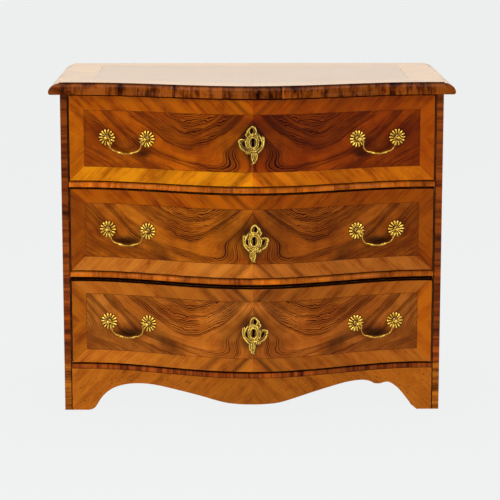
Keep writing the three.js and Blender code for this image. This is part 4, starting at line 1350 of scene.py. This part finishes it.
def worm_holes(edge):
    """Small flight holes in the apron, drawn as dark discs of painted shade, most of them in its feet; edge
    is its lower outline.
    """
    chance = random.Random(SEEDS["worm_holes"])
    solid = Solid()
    for _ in range(WORM_HOLES):
        share = chance.uniform(-1, 1)
        x = math.copysign(math.sqrt(abs(share)), share) * (INNER_HALF - WORM_HOLE_MARGIN)
        foot = next((z for u, z in edge if u >= x), 0.0)
        z = chance.uniform(foot + WORM_HOLE_MARGIN, APRON_TOP - WORM_HOLE_MARGIN)
        radius = chance.uniform(*WORM_HOLE_SIZES)
        spots = oval(x, z, radius, radius, steps=WORM_HOLE_SIDES)
        solid.skin([[on_front(*spot, side * WORM_HOLE_PROUD) for spot in spots] for side in (1, -1)])
    make_piece("apron_worm_holes", solid, SHADOW, "case")


def apron():
    """The scalloped apron: two mirrored leaves of diagonal veneer on a curved core."""
    half = INNER_HALF - FIT
    knots = [(x * half, z * (APRON_TOP + FIT)) for x, z in APRON_LEFT_SHARES + APRON_RIGHT_SHARES]
    edge = [(x, max(z, 0.0)) for x, z in spline(knots, CURVE_STEPS)]
    line = filled_line([(-half, 0.0), *edge, (half, 0.0)], CELL)
    level_at = lambda x: lerp(APRON_END_LEVEL, APRON_MIDDLE_LEVEL, swell(x))
    solid = Solid()
    for side in (-1, 1):
        part = [(x, z) for x, z in line if side * x > -SEAM_OVERLAP]
        grain = straight_grain(-side * math.pi / 4, SEEDS["apron"] + side)
        columns(solid, part, APRON_TOP, APRON_ROWS, on_front, grain, level_at)
    make_piece("apron_veneer", solid, APRON_VENEER, "case", ["apron"])
    worm_holes(edge)
    core = lambda x, z, depth: on_front(x, z, VENEER + depth)
    grain = straight_grain(0.0, SEEDS["apron_core"])
    solid = Solid()
    columns(solid, line, APRON_TOP, CORE_ROWS, core, grain, lambda x: 1.0, APRON_THICKNESS)
    make_piece("apron_core", solid, PINE_X, "case", ["apron"])


# Escutcheons: pierced rocaille plates with raised scrolls, all in shares of their width and height

PLATE_WIDTH = 0.067
PLATE_HEIGHT = 0.098
PLATE_THICKNESS = 0.0022
PLATE_BEVEL = 0.0005
PLATE_BEVEL_STEPS = 2
PLATE_WELD = 0.00001
PLATE_SLICE = 0.003
PLATE_STEPS = 3
PLATE_REACH_SHARE = 0.6
SCROLL_SIDES = 10
SCROLL_STEPS = 7
RING_STEPS = 48
PIN_HOLE = 0.0013
PIN_STEPS = 12

PLATE_SHARES = [
    (-0.02, 0.435), (0.07, 0.425), (0.14, 0.37), (0.23, 0.32), (0.245, 0.26), (0.31, 0.215),
    (0.26, 0.155), (0.305, 0.093), (0.44, 0.108), (0.53, 0.08), (0.55, 0), (0.515, -0.083),
    (0.43, -0.165), (0.305, -0.228), (0.26, -0.3), (0.155, -0.31), (0.08, -0.28), (0.073, -0.41),
    (0.05, -0.48), (0.075, -0.55), (-0.025, -0.537), (-0.115, -0.495), (-0.175, -0.4),
    (-0.19, -0.31), (-0.24, -0.268), (-0.3, -0.196), (-0.39, -0.113), (-0.43, -0.03),
    (-0.425, 0.05), (-0.42, 0.155), (-0.345, 0.175), (-0.267, 0.145), (-0.23, 0.217),
    (-0.146, 0.279), (-0.116, 0.37), (-0.07, 0.424),
]

# Piercings: centre, half sizes and tilt in quarter turns
PIERCING_SHARES = [
    (0.057, 0.3, 0.055, 0.068, 0),
    (-0.25, -0.035, 0.06, 0.07, 0.15),
    (0.335, -0.04, 0.05, 0.08, -0.3),
]
PIN_SHARES = [(-0.38, -0.02), (0.475, 0.01), (-0.03, -0.5)]

# The head of each pin: radius and height
PIN_PROFILE = [(0.0011, 0.0), (0.0011, 0.0011), (0.00055, 0.00154)]

# Raised scrolls: the points that each follows, and its radius at the root, middle and tip
SCROLLS = [
    ([(-0.07, 0.2), (-0.12, 0.27), (-0.07, 0.37), (0.03, 0.41), (0.12, 0.36), (0.15, 0.29),
      (0.1, 0.21)], 0.0014, 0.0021, 0.0012),
    ([(0.15, 0.36), (0.2, 0.31), (0.22, 0.24), (0.27, 0.2), (0.22, 0.15)], 0.001, 0.0017, 0.0012),
    ([(-0.22, 0.19), (-0.29, 0.1), (-0.335, 0.0), (-0.3, -0.1), (-0.2, -0.16)], 0.001, 0.0016, 0.001),
    ([(-0.4, 0.14), (-0.4, 0.02), (-0.37, -0.1), (-0.28, -0.19), (-0.18, -0.26)], 0.0013, 0.002, 0.0015),
    ([(-0.34, 0.15), (-0.335, 0.08), (-0.34, 0.02)], 0.0009, 0.0014, 0.0008),
    ([(0.3, 0.07), (0.4, 0.085), (0.5, 0.06), (0.52, 0.0), (0.45, -0.01)], 0.001, 0.002, 0.0016),
    ([(0.51, -0.03), (0.46, -0.12), (0.37, -0.18), (0.27, -0.22)], 0.0012, 0.0021, 0.0013),
    ([(0.23, 0.08), (0.27, 0.0), (0.25, -0.09), (0.19, -0.15)], 0.001, 0.0015, 0.001),
    ([(-0.19, 0.14), (-0.1, 0.21), (0.04, 0.215), (0.16, 0.16), (0.22, 0.1)], 0.001, 0.0016, 0.001),
    ([(-0.2, -0.15), (-0.12, -0.21), (0.0, -0.225), (0.1, -0.21), (0.18, -0.17)], 0.001, 0.0017, 0.001),
    ([(-0.13, -0.26), (-0.15, -0.36), (-0.12, -0.44), (-0.05, -0.48)], 0.001, 0.0018, 0.001),
    ([(-0.07, -0.25), (-0.08, -0.36), (-0.06, -0.45)], 0.001, 0.0019, 0.0008),
    ([(-0.01, -0.25), (-0.01, -0.36), (-0.02, -0.44)], 0.001, 0.0018, 0.0008),
    ([(0.04, -0.26), (0.05, -0.36), (0.02, -0.45), (-0.03, -0.53)], 0.0009, 0.0016, 0.001),
    ([(0.12, -0.22), (0.11, -0.29)], 0.0009, 0.0017, 0.0012),
    ([(0.18, -0.21), (0.185, -0.29)], 0.0009, 0.0017, 0.0012),
    ([(0.24, -0.2), (0.245, -0.28)], 0.0009, 0.0017, 0.0012),
    ([(-0.11, -0.49), (-0.03, -0.52), (0.06, -0.54)], 0.0008, 0.0014, 0.0008),
]
SCROLL_FULLNESS = 1.18

# Raised rings round the keyhole: half width, half height and the radius of the bar
KEY_RINGS = [(0.0095, 0.0135, 0.0022), (0.0138, 0.0178, 0.0015)]

# Painted shade and dirt in the piercings: how far the dark sheet reaches under the plate, and how thick it
# lies
PIERCING_SHADE_REACH = 0.001
PIERCING_SHADE_DEPTH = 0.00008
PLATE_TONE = (0.32, 0.21, 0.09)
CLEAN_FROM = -0.25
ESCUTCHEON_LEVELS = {"top_drawer": 0.72, "middle_drawer": 0.92, "bottom_drawer": 0.9}


def bar_tone(height):
    """Bright on a bar's crest and tarnished down its flanks."""
    return part_way(PLATE_TONE, grey(1.0), smooth_share(height - CLEAN_FROM))


def bar_ring(solid, middle, across, radius, place):
    """A ring of points round a bar on the plate, across the bar at a (u, v) point."""
    centre = Vector((*middle, PLATE_THICKNESS))
    return hoop(solid, centre, Vector((*across, 0)), UP, radius, SCROLL_SIDES, bar_tone, place)


def scroll(solid, line, radii, place):
    """A tapered round bar along a line of (u, v) points, with rounded ends."""
    start, middle, end = radii
    last = len(line) - 1
    rings = []
    for at, spot in enumerate(line):
        way = (Vector(line[min(at + 1, last)]) - Vector(line[max(at - 1, 0)])).normalized()
        share = at / last
        bow = 4 * share * (1 - share)
        radius = SCROLL_FULLNESS * (lerp(start, end, share) + (middle - (start + end) / 2) * bow)
        if at in (0, last):
            radius /= 2
        rings.append(bar_ring(solid, spot, (-way.y, way.x), radius, place))
    solid.rings(rings)


def key_ring(solid, half_width, half_height, radius, place):
    """A closed raised ring round the keyhole."""
    rings = []
    for turn in circle(RING_STEPS):
        out = Vector(spoke(turn, half_height, half_width)).normalized()
        rings.append(bar_ring(solid, spoke(turn, half_width, half_height), out, radius, place))
    solid.rings([*rings, rings[0]], close_ends=False)


def pierced_plate(solid, outlines, place):
    """A flat bevelled plate with holes, sliced upright and bent to the face by its place."""
    curve = bpy.data.curves.new("plate", "CURVE")
    curve.dimensions = "2D"
    curve.fill_mode = "BOTH"
    curve.extrude = PLATE_THICKNESS / 2 - PLATE_BEVEL
    curve.bevel_depth = PLATE_BEVEL
    curve.bevel_resolution = PLATE_BEVEL_STEPS
    curve.offset = -PLATE_BEVEL
    for outline in outlines:
        rim = curve.splines.new("POLY")
        rim.points.add(len(outline) - 1)
        rim.use_cyclic_u = True
        for knot, (u, v) in zip(rim.points, outline):
            knot.co = (u, v, 0.0, 1.0)
    pattern = linked("plate", curve)
    graph = bpy.context.evaluated_depsgraph_get()
    mesh = bpy.data.meshes.new_from_object(pattern.evaluated_get(graph))
    bpy.data.objects.remove(pattern)
    shape = bmesh.new()
    shape.from_mesh(mesh)
    bmesh.ops.remove_doubles(shape, verts=shape.verts, dist=PLATE_WELD)
    level = -PLATE_WIDTH / 2
    while level < PLATE_WIDTH * PLATE_REACH_SHARE:
        parts = shape.verts[:] + shape.edges[:] + shape.faces[:]
        bmesh.ops.bisect_plane(shape, geom=parts, plane_co=(level, 0, 0), plane_no=(1, 0, 0))
        level += PLATE_SLICE
    numbers = {}
    for vertex in shape.verts:
        u, v, depth = vertex.co
        numbers[vertex] = solid.point(place((u, v, depth + PLATE_THICKNESS / 2)), tone=PLATE_TONE)
    for face in shape.faces:
        solid.faces.append(tuple(numbers[vertex] for vertex in face.verts))
    shape.free()


def escutcheon(drawer):
    """A drawer's escutcheon with its pins, and the painted shade and dirt in its piercings."""
    x, z = key_place(drawer)
    flip = -1 if drawer == "top_drawer" else 1
    place = lambda spot: on_front(x + flip * spot[0], z + spot[1], -spot[2])
    scaled = lambda shares: [(u * PLATE_WIDTH, v * PLATE_HEIGHT) for u, v in shares]

    def piercings(room=0.0):
        """The piercings' outlines, larger all round by some room."""
        ovals = []
        for u, v, wide, high, tilt in PIERCING_SHARES:
            (u, v), (wide, high) = scaled([(u, v), (wide, high)])
            ovals.append(oval(u, v, wide + room, high + room, tilt * math.pi / 2))
        return ovals

    outline = scaled(spline([*PLATE_SHARES, PLATE_SHARES[0]], PLATE_STEPS)[:-1])
    pin_holes = [oval(u, v, PIN_HOLE, PIN_HOLE, steps=PIN_STEPS) for u, v in scaled(PIN_SHARES)]
    solid = Solid()
    pierced_plate(solid, [outline, keyhole_outline(), *piercings(), *pin_holes], place)
    for knots, *radii in SCROLLS:
        scroll(solid, spline(scaled(knots), SCROLL_STEPS), radii, place)
    for ring in KEY_RINGS:
        key_ring(solid, *ring, place)
    solid.tone = [tinted(tone, grey(ESCUTCHEON_LEVELS[drawer])) for tone in solid.tone]
    make_piece(f"{drawer}_escutcheon_fine", solid, BRASS, drawer, [f"{drawer}_escutcheon"])
    pins = Solid()
    for u, v in scaled(PIN_SHARES):
        pins.skin([[place((*spot, lift)) for spot in oval(u, v, radius, radius, steps=PIN_STEPS)]
                   for radius, lift in PIN_PROFILE])
    make_piece(f"{drawer}_escutcheon_pins", pins, IRON, drawer)
    # Painted shade and dirt: a thin dark sheet seen through the piercings
    grime = Solid()
    for line in piercings(PIERCING_SHADE_REACH):
        grime.skin([[place((*spot, lift)) for spot in line] for lift in (-PIERCING_SHADE_DEPTH, PIERCING_SHADE_DEPTH)])
    make_piece(f"{drawer}_escutcheon_shade_and_dirt", grime, SHADOW, drawer)


# Handles: rosettes with their posts, and bails

HANDLE_INSET = 0.0968
HANDLE_SPAN = 0.102
ROSETTE_RADIUS = 0.0224
PETALS = 14
PETAL_STEPS = 12
PETAL_NOTCH = 0.003
NOTCH_FROM = 0.5
PETAL_CURVE = 0.75
HOLLOW_SHARE = 0.28
HOLLOW_WIDTH_SHARE = 0.1
HOLLOW_TONE = (0.16, 0.1, 0.05)
CREST_FROM = 0.2
CREST_REACH = 0.5
BALL_HEIGHT = 0.017
BALL_RADIUS = 0.0049
BALL_STACKS = 12
BALL_SIDES = 24
POST_RADIUS = 0.0032
POST_TAIL = 0.029
POST_SIDES = 20

# The rosette's radial section: radius, height on a petal's crest, and height in a groove
ROSETTE_SHARES = [
    (0.08, 0.2, 0.2), (0.16, 0.17, 0.17), (0.22, 0.09, 0.09), (0.29, 0.08, 0.07), (0.35, 0.15, 0.08),
    (0.42, 0.22, 0.09), (0.5, 0.265, 0.1), (0.6, 0.295, 0.1), (0.7, 0.3, 0.09), (0.8, 0.295, 0.08),
    (0.88, 0.275, 0.065), (0.94, 0.235, 0.05), (0.98, 0.17, 0.04), (1.0, 0.08, 0.03), (0.995, 0.0, 0.0),
]

# The post, in shares of its radius and of the ball's: radius, and height over its root or ball
POST_FOOT = [(0.8, -POST_TAIL), (0.8, 0.0), (1.0, 0.002)]
POST_NECK = [(0.92, 1.3), (0.8, 1.0)]

BAIL_PIN_RADIUS = 0.0017
BAIL_PIN_PAST = 0.0058
BAIL_INSET = 0.0105
BAIL_DROP = 0.038
BAIL_SAG = 0.005
BAIL_TOP_BEND = 0.0035
BAIL_CORNER = 0.018
BAIL_CORNER_RADIUS = 0.0018
BAIL_BAR_RADIUS = 0.0016
BAIL_SIDES = 20
BAIL_TOP_STEPS = 8
BAIL_CORNER_STEPS = 14
BAIL_BAR_STEPS = 60
BAIL_TONE = (0.66, 0.57, 0.34)

# The rounded end of a bail's pin: distance from its tip, and radius
BAIL_PIN_END = [(0.0, 0.0005), (0.0003, 0.0014), (0.001, BAIL_PIN_RADIUS)]

# The swells along half of a bail's lower bar: place, half length and added radius
BAIL_SWELLS = [
    (0.0, 0.085, 0.0017),
    (0.19, 0.07, 0.0013),
    (0.34, 0.06, 0.0011),
    (0.68, 0.3, 0.0018),
]


def turned(solid, profile, sides):
    """A turned part on the Z axis, from (radius, height) points."""
    rings = []
    for radius, height in profile:
        rings.append([Vector((*spoke(turn, radius, radius), height)) for turn in circle(sides)])
    solid.skin(rings)


def petals(solid, lift):
    """A petalled rosette on the Z axis, dark between its petals and in the hollow round its hub."""
    rings = []
    for share, crest, groove in ROSETTE_SHARES:
        hollow = bell(share - HOLLOW_SHARE, HOLLOW_WIDTH_SHARE)
        ring = []
        for step, turn in enumerate(circle(PETALS * PETAL_STEPS)):
            petal = abs(math.cos(math.pi * step / PETAL_STEPS)) ** PETAL_CURVE
            notch = max(share - NOTCH_FROM, 0.0) / (1 - NOTCH_FROM)
            radius = ROSETTE_RADIUS * share - PETAL_NOTCH * (1 - petal) * notch
            height = lift + ROSETTE_RADIUS * lerp(groove, crest, petal)
            clean = (1 - hollow) * smooth_share((petal - CREST_FROM) / CREST_REACH)
            spot = Vector((*spoke(turn, radius, radius), height))
            ring.append(solid.point(spot, tone=part_way(HOLLOW_TONE, grey(1.0), clean)))
        rings.append(ring)
    solid.rings(rings)


def rosette(name, x, z, body):
    """A rosette with its post and ball, square to the curved front."""
    curve = DRAWER_BOW / 2 * (math.pi / SWELL_HALF) ** 2
    solid = Solid()
    petals(solid, VENEER_PROUD + ROSETTE_RADIUS**2 / 2 * curve)
    post = [(POST_RADIUS * share, height) for share, height in POST_FOOT]
    post += [(POST_RADIUS * share, BALL_HEIGHT - BALL_RADIUS * drop) for share, drop in POST_NECK]
    turned(solid, post, POST_SIDES)
    ball = []
    for turn in spread(0.0, math.pi, BALL_STACKS)[1:-1]:
        ball.append((BALL_RADIUS * math.sin(turn), BALL_HEIGHT - BALL_RADIUS * math.cos(turn)))
    turned(solid, ball, BALL_SIDES)
    slope = math.atan(DRAWER_BOW * math.pi / SWELL_HALF / 2 * math.sin(math.pi * x / SWELL_HALF))
    turn = Matrix.Rotation(slope, 4, "Z") @ Matrix.Rotation(math.pi / 2, 4, "X")
    placed = Matrix.Translation((x, face_y(x), z)) @ turn
    solid.points = [placed @ point for point in solid.points]
    make_piece(f"{name}_fine", solid, BRASS, body, [name])


def bail_radius(share):
    radius = BAIL_BAR_RADIUS
    for centre, half, extra in BAIL_SWELLS:
        away = abs(share - centre) / half
        if away < 1:
            radius += extra * math.sqrt(1 - away * away)
    return radius


def bail_line(half_span):
    """Half of a bail from its pin down to its middle, as (along, height, radius)."""
    arm = half_span - BAIL_INSET
    low = BAIL_DROP - BAIL_SAG
    line = [(half_span + BAIL_PIN_PAST - in_from, 0.0, radius) for in_from, radius in BAIL_PIN_END]
    for turn in quarter(BAIL_TOP_STEPS):
        line.append((arm + BAIL_TOP_BEND * (1 - math.sin(turn)),
                     -BAIL_TOP_BEND * (1 - math.cos(turn)), BAIL_PIN_RADIUS))
    for turn in quarter(BAIL_CORNER_STEPS):
        line.append((arm - BAIL_CORNER * (1 - math.cos(turn)),
                     -low + BAIL_CORNER * (1 - math.sin(turn)), BAIL_CORNER_RADIUS))
    for share in spread(1.0, 0.0, BAIL_BAR_STEPS, 1):
        line.append(((arm - BAIL_CORNER) * share, -low - BAIL_SAG * (1 - share * share), bail_radius(share)))
    return line


def bail(name):
    """A bail that hangs on its joint's axis."""
    low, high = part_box(name)
    joint = next(joint for joint in frame["joints"] if joint["child"] == name)
    axis = Vector(joint["axis"]).normalized()
    if axis.x < 0:
        axis = -axis
    line = bail_line((high.x - low.x) / 2 / axis.x - BAIL_PIN_PAST)
    line += [(-along, height, radius) for along, height, radius in reversed(line[:-1])]
    solid = Solid()
    rings = []
    for at, (along, height, radius) in enumerate(line):
        before, after = line[max(at - 1, 0)], line[min(at + 1, len(line) - 1)]
        way = Vector((after[0] - before[0], after[1] - before[1])).normalized()
        centre = Vector(joint["pos_m"]) + axis * along + UP * height
        across = UP * way.x - axis * way.y
        rings.append(hoop(solid, centre, across, axis.cross(UP), radius, BAIL_SIDES, lambda _: BAIL_TONE))
    solid.rings(rings)
    make_piece(f"{name}_fine", solid, BRASS, name, [name])


def handles(drawer):
    """A drawer's two bails and four rosettes."""
    for side, sign in SIDES.items():
        bail(f"{drawer}_{side}_bail")
        for label, inward in (("outer", 0.0), ("inner", HANDLE_SPAN)):
            x = sign * (FRONT_HIGH.x - HANDLE_INSET - inward)
            rosette(f"{drawer}_{side}_rosette_{label}", x, pin_height(drawer), drawer)


# Back: the joints between its boards, and the nails that hold them

BACK_BOARDS = 4
JOINT_WIDTH = 0.0016
JOINT_PROUD = 0.0002
NAIL_SIDES = 10
NAIL_EDGE = 0.009
SIDE_NAILS = 6
BOARD_NAILS = 3

# A hand-forged nail's head: radius and height
NAIL_PROFILE = [(0.0032, -0.0008), (0.0032, 0.0004), (0.0016, 0.0008)]


def back_details():
    low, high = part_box("back_panel")
    joints = []
    for x in spread(low.x, high.x, BACK_BOARDS)[1:-1]:
        joints.append(plain_leaf(box_outline(x - JOINT_WIDTH / 2, x + JOINT_WIDTH / 2, low.z, high.z)))
    place = lambda x, z, depth: Vector((x, high.y + JOINT_PROUD - depth, z))
    lay_leaves("back_joints", joints, place, SHADOW, "case")
    spots = []
    for z in spread(low.z, high.z, 2 * SIDE_NAILS)[1::2]:
        spots += [(low.x + NAIL_EDGE, z), (high.x - NAIL_EDGE, z)]
    for x in spread(low.x, high.x, 2 * BACK_BOARDS * BOARD_NAILS)[1::2]:
        spots += [(x, low.z + NAIL_EDGE), (x, high.z - NAIL_EDGE)]
    nails = Solid()
    for x, z in spots:
        nails.skin([[(u, high.y + proud, v) for u, v in oval(x, z, radius, radius, steps=NAIL_SIDES)]
                    for radius, proud in NAIL_PROFILE])
    make_piece("back_nails", nails, IRON, "case")


# Stage


def make_floor():
    """A wide floor that glows as pale as the background where the camera or a mirror sees it."""
    mesh = bpy.data.meshes.new("floor")
    corners = box_outline(-FLOOR_REACH, FLOOR_REACH, FLOOR_FRONT, FLOOR_REACH)
    mesh.from_pydata([(x, y, 0) for x, y in corners], [], [(0, 1, 2, 3)])
    floor = linked("floor", mesh)
    paper = Shader("floor_paper", Roughness=1.0, Specular_IOR_Level=0.0)
    paper.surface.inputs["Base Color"].default_value = PALE
    glow = paper.node("Emission", {"Color": PALE, "Strength": 1.0})
    path = paper.node("LightPath").outputs
    seen = paper.highest(path["Is Camera Ray"], path["Is Glossy Ray"], path["Is Transmission Ray"])
    shown = paper.times(seen, 1.0 - FLOOR_SHADE)
    blend = paper.node("MixShader", {0: shown, 1: paper.surface.outputs[0], 2: glow.outputs[0]})
    paper.tree.links.new(blend.outputs[0], paper.tree.nodes["Material Output"].inputs["Surface"])
    mesh.materials.append(paper.material)


def make_world():
    """Pale to the camera, a soft fill for surfaces, and brighter behind the chest in its mirrors."""
    world = bpy.data.worlds.new("studio")
    bpy.context.scene.world = world
    world.use_nodes = True
    world.node_tree.nodes.clear()
    sky = Graph(world.node_tree)
    path = sky.node("LightPath").outputs
    way = sky.node("SeparateXYZ", {0: sky.node("TexCoord").outputs["Generated"]}).outputs["Y"]
    low, high = ROOM_EDGE
    room = sky.node("MapRange", {"Value": way, "From Min": low, "From Max": high, "To Min": FRONT_ROOM})
    mirrored = sky.highest(path["Is Glossy Ray"], path["Is Transmission Ray"])
    level = sky.node("Mix", {"Factor": mirrored, 2: FILL, 3: room.outputs[0]}).outputs[0]
    strength = sky.node("Mix", {"Factor": path["Is Camera Ray"], 2: level, 3: 1.0}).outputs[0]
    background = sky.node("Background", {"Color": PALE, "Strength": strength})
    sky.node("OutputWorld", {"Surface": background.outputs[0]})


def make_lights():
    for name, (place, target, width, height, power) in LAMPS.items():
        data = bpy.data.lights.new(name, "AREA")
        data.shape = "RECTANGLE"
        data.size = width
        data.size_y = height
        data.energy = power
        lamp = linked(name, data)
        lamp.location = place
        lamp.rotation_mode = "QUATERNION"
        lamp.rotation_quaternion = (Vector(target) - Vector(place)).to_track_quat("-Z", "Y")
        lamp.visible_camera = False
        lamp.visible_glossy = name != "floor_bounce"


def make_camera():
    data = bpy.data.cameras.new("camera")
    data.sensor_width = SENSOR
    data.lens = LENS
    data.shift_y = SHIFT_UP
    camera = linked("camera", data)
    camera.location = CAMERA_PLACE
    level = math.cos(CAMERA_PITCH)
    way = Vector((math.sin(CAMERA_YAW) * level, math.cos(CAMERA_YAW) * level, -math.sin(CAMERA_PITCH)))
    camera.rotation_mode = "QUATERNION"
    camera.rotation_quaternion = way.to_track_quat("-Z", "Y")
    bpy.context.scene.camera = camera
    bpy.context.scene.view_settings.view_transform = "Standard"


def paint(material, label, *parts):
    """Paints CAD pieces, named by a label with a gap for the part."""
    for part in parts:
        slots = frame["nodes"][label.format(part)].data.materials
        slots.clear()
        slots.append(material)


make_camera()
make_world()
make_lights()
make_floor()
paint(PINE_Z, "{}", "side_panel_left", "side_panel_right", "back_panel")
paint(PINE_X, "{}", "bottom_board", "divider_board_lower", "divider_board_upper")
paint(PINE_Z, "foot_block_{}", "front_left", "front_right", "back_left", "back_right")
for number, drawer in enumerate(DRAWERS):
    paint(PINE_X, drawer + "_{}", "front", "back", "bottom")
    darken_front(drawer)
    paint(PINE_Y, drawer + "_{}", "side_left", "side_right")
    paint(IRON, drawer + "_{}", "lock_case", "lock_bolt")
    darken_lock(drawer)
    drawer_veneers(drawer, number + 1)
    escutcheon(drawer)
    handles(drawer)
for name, sign in SIDES.items():
    side_veneers(name, sign)
    stile_veneers(name, sign)
top_surface()
top_mouldings()
bead("bead_lower")
bead("bead_upper")
base_band()
apron()
back_details()
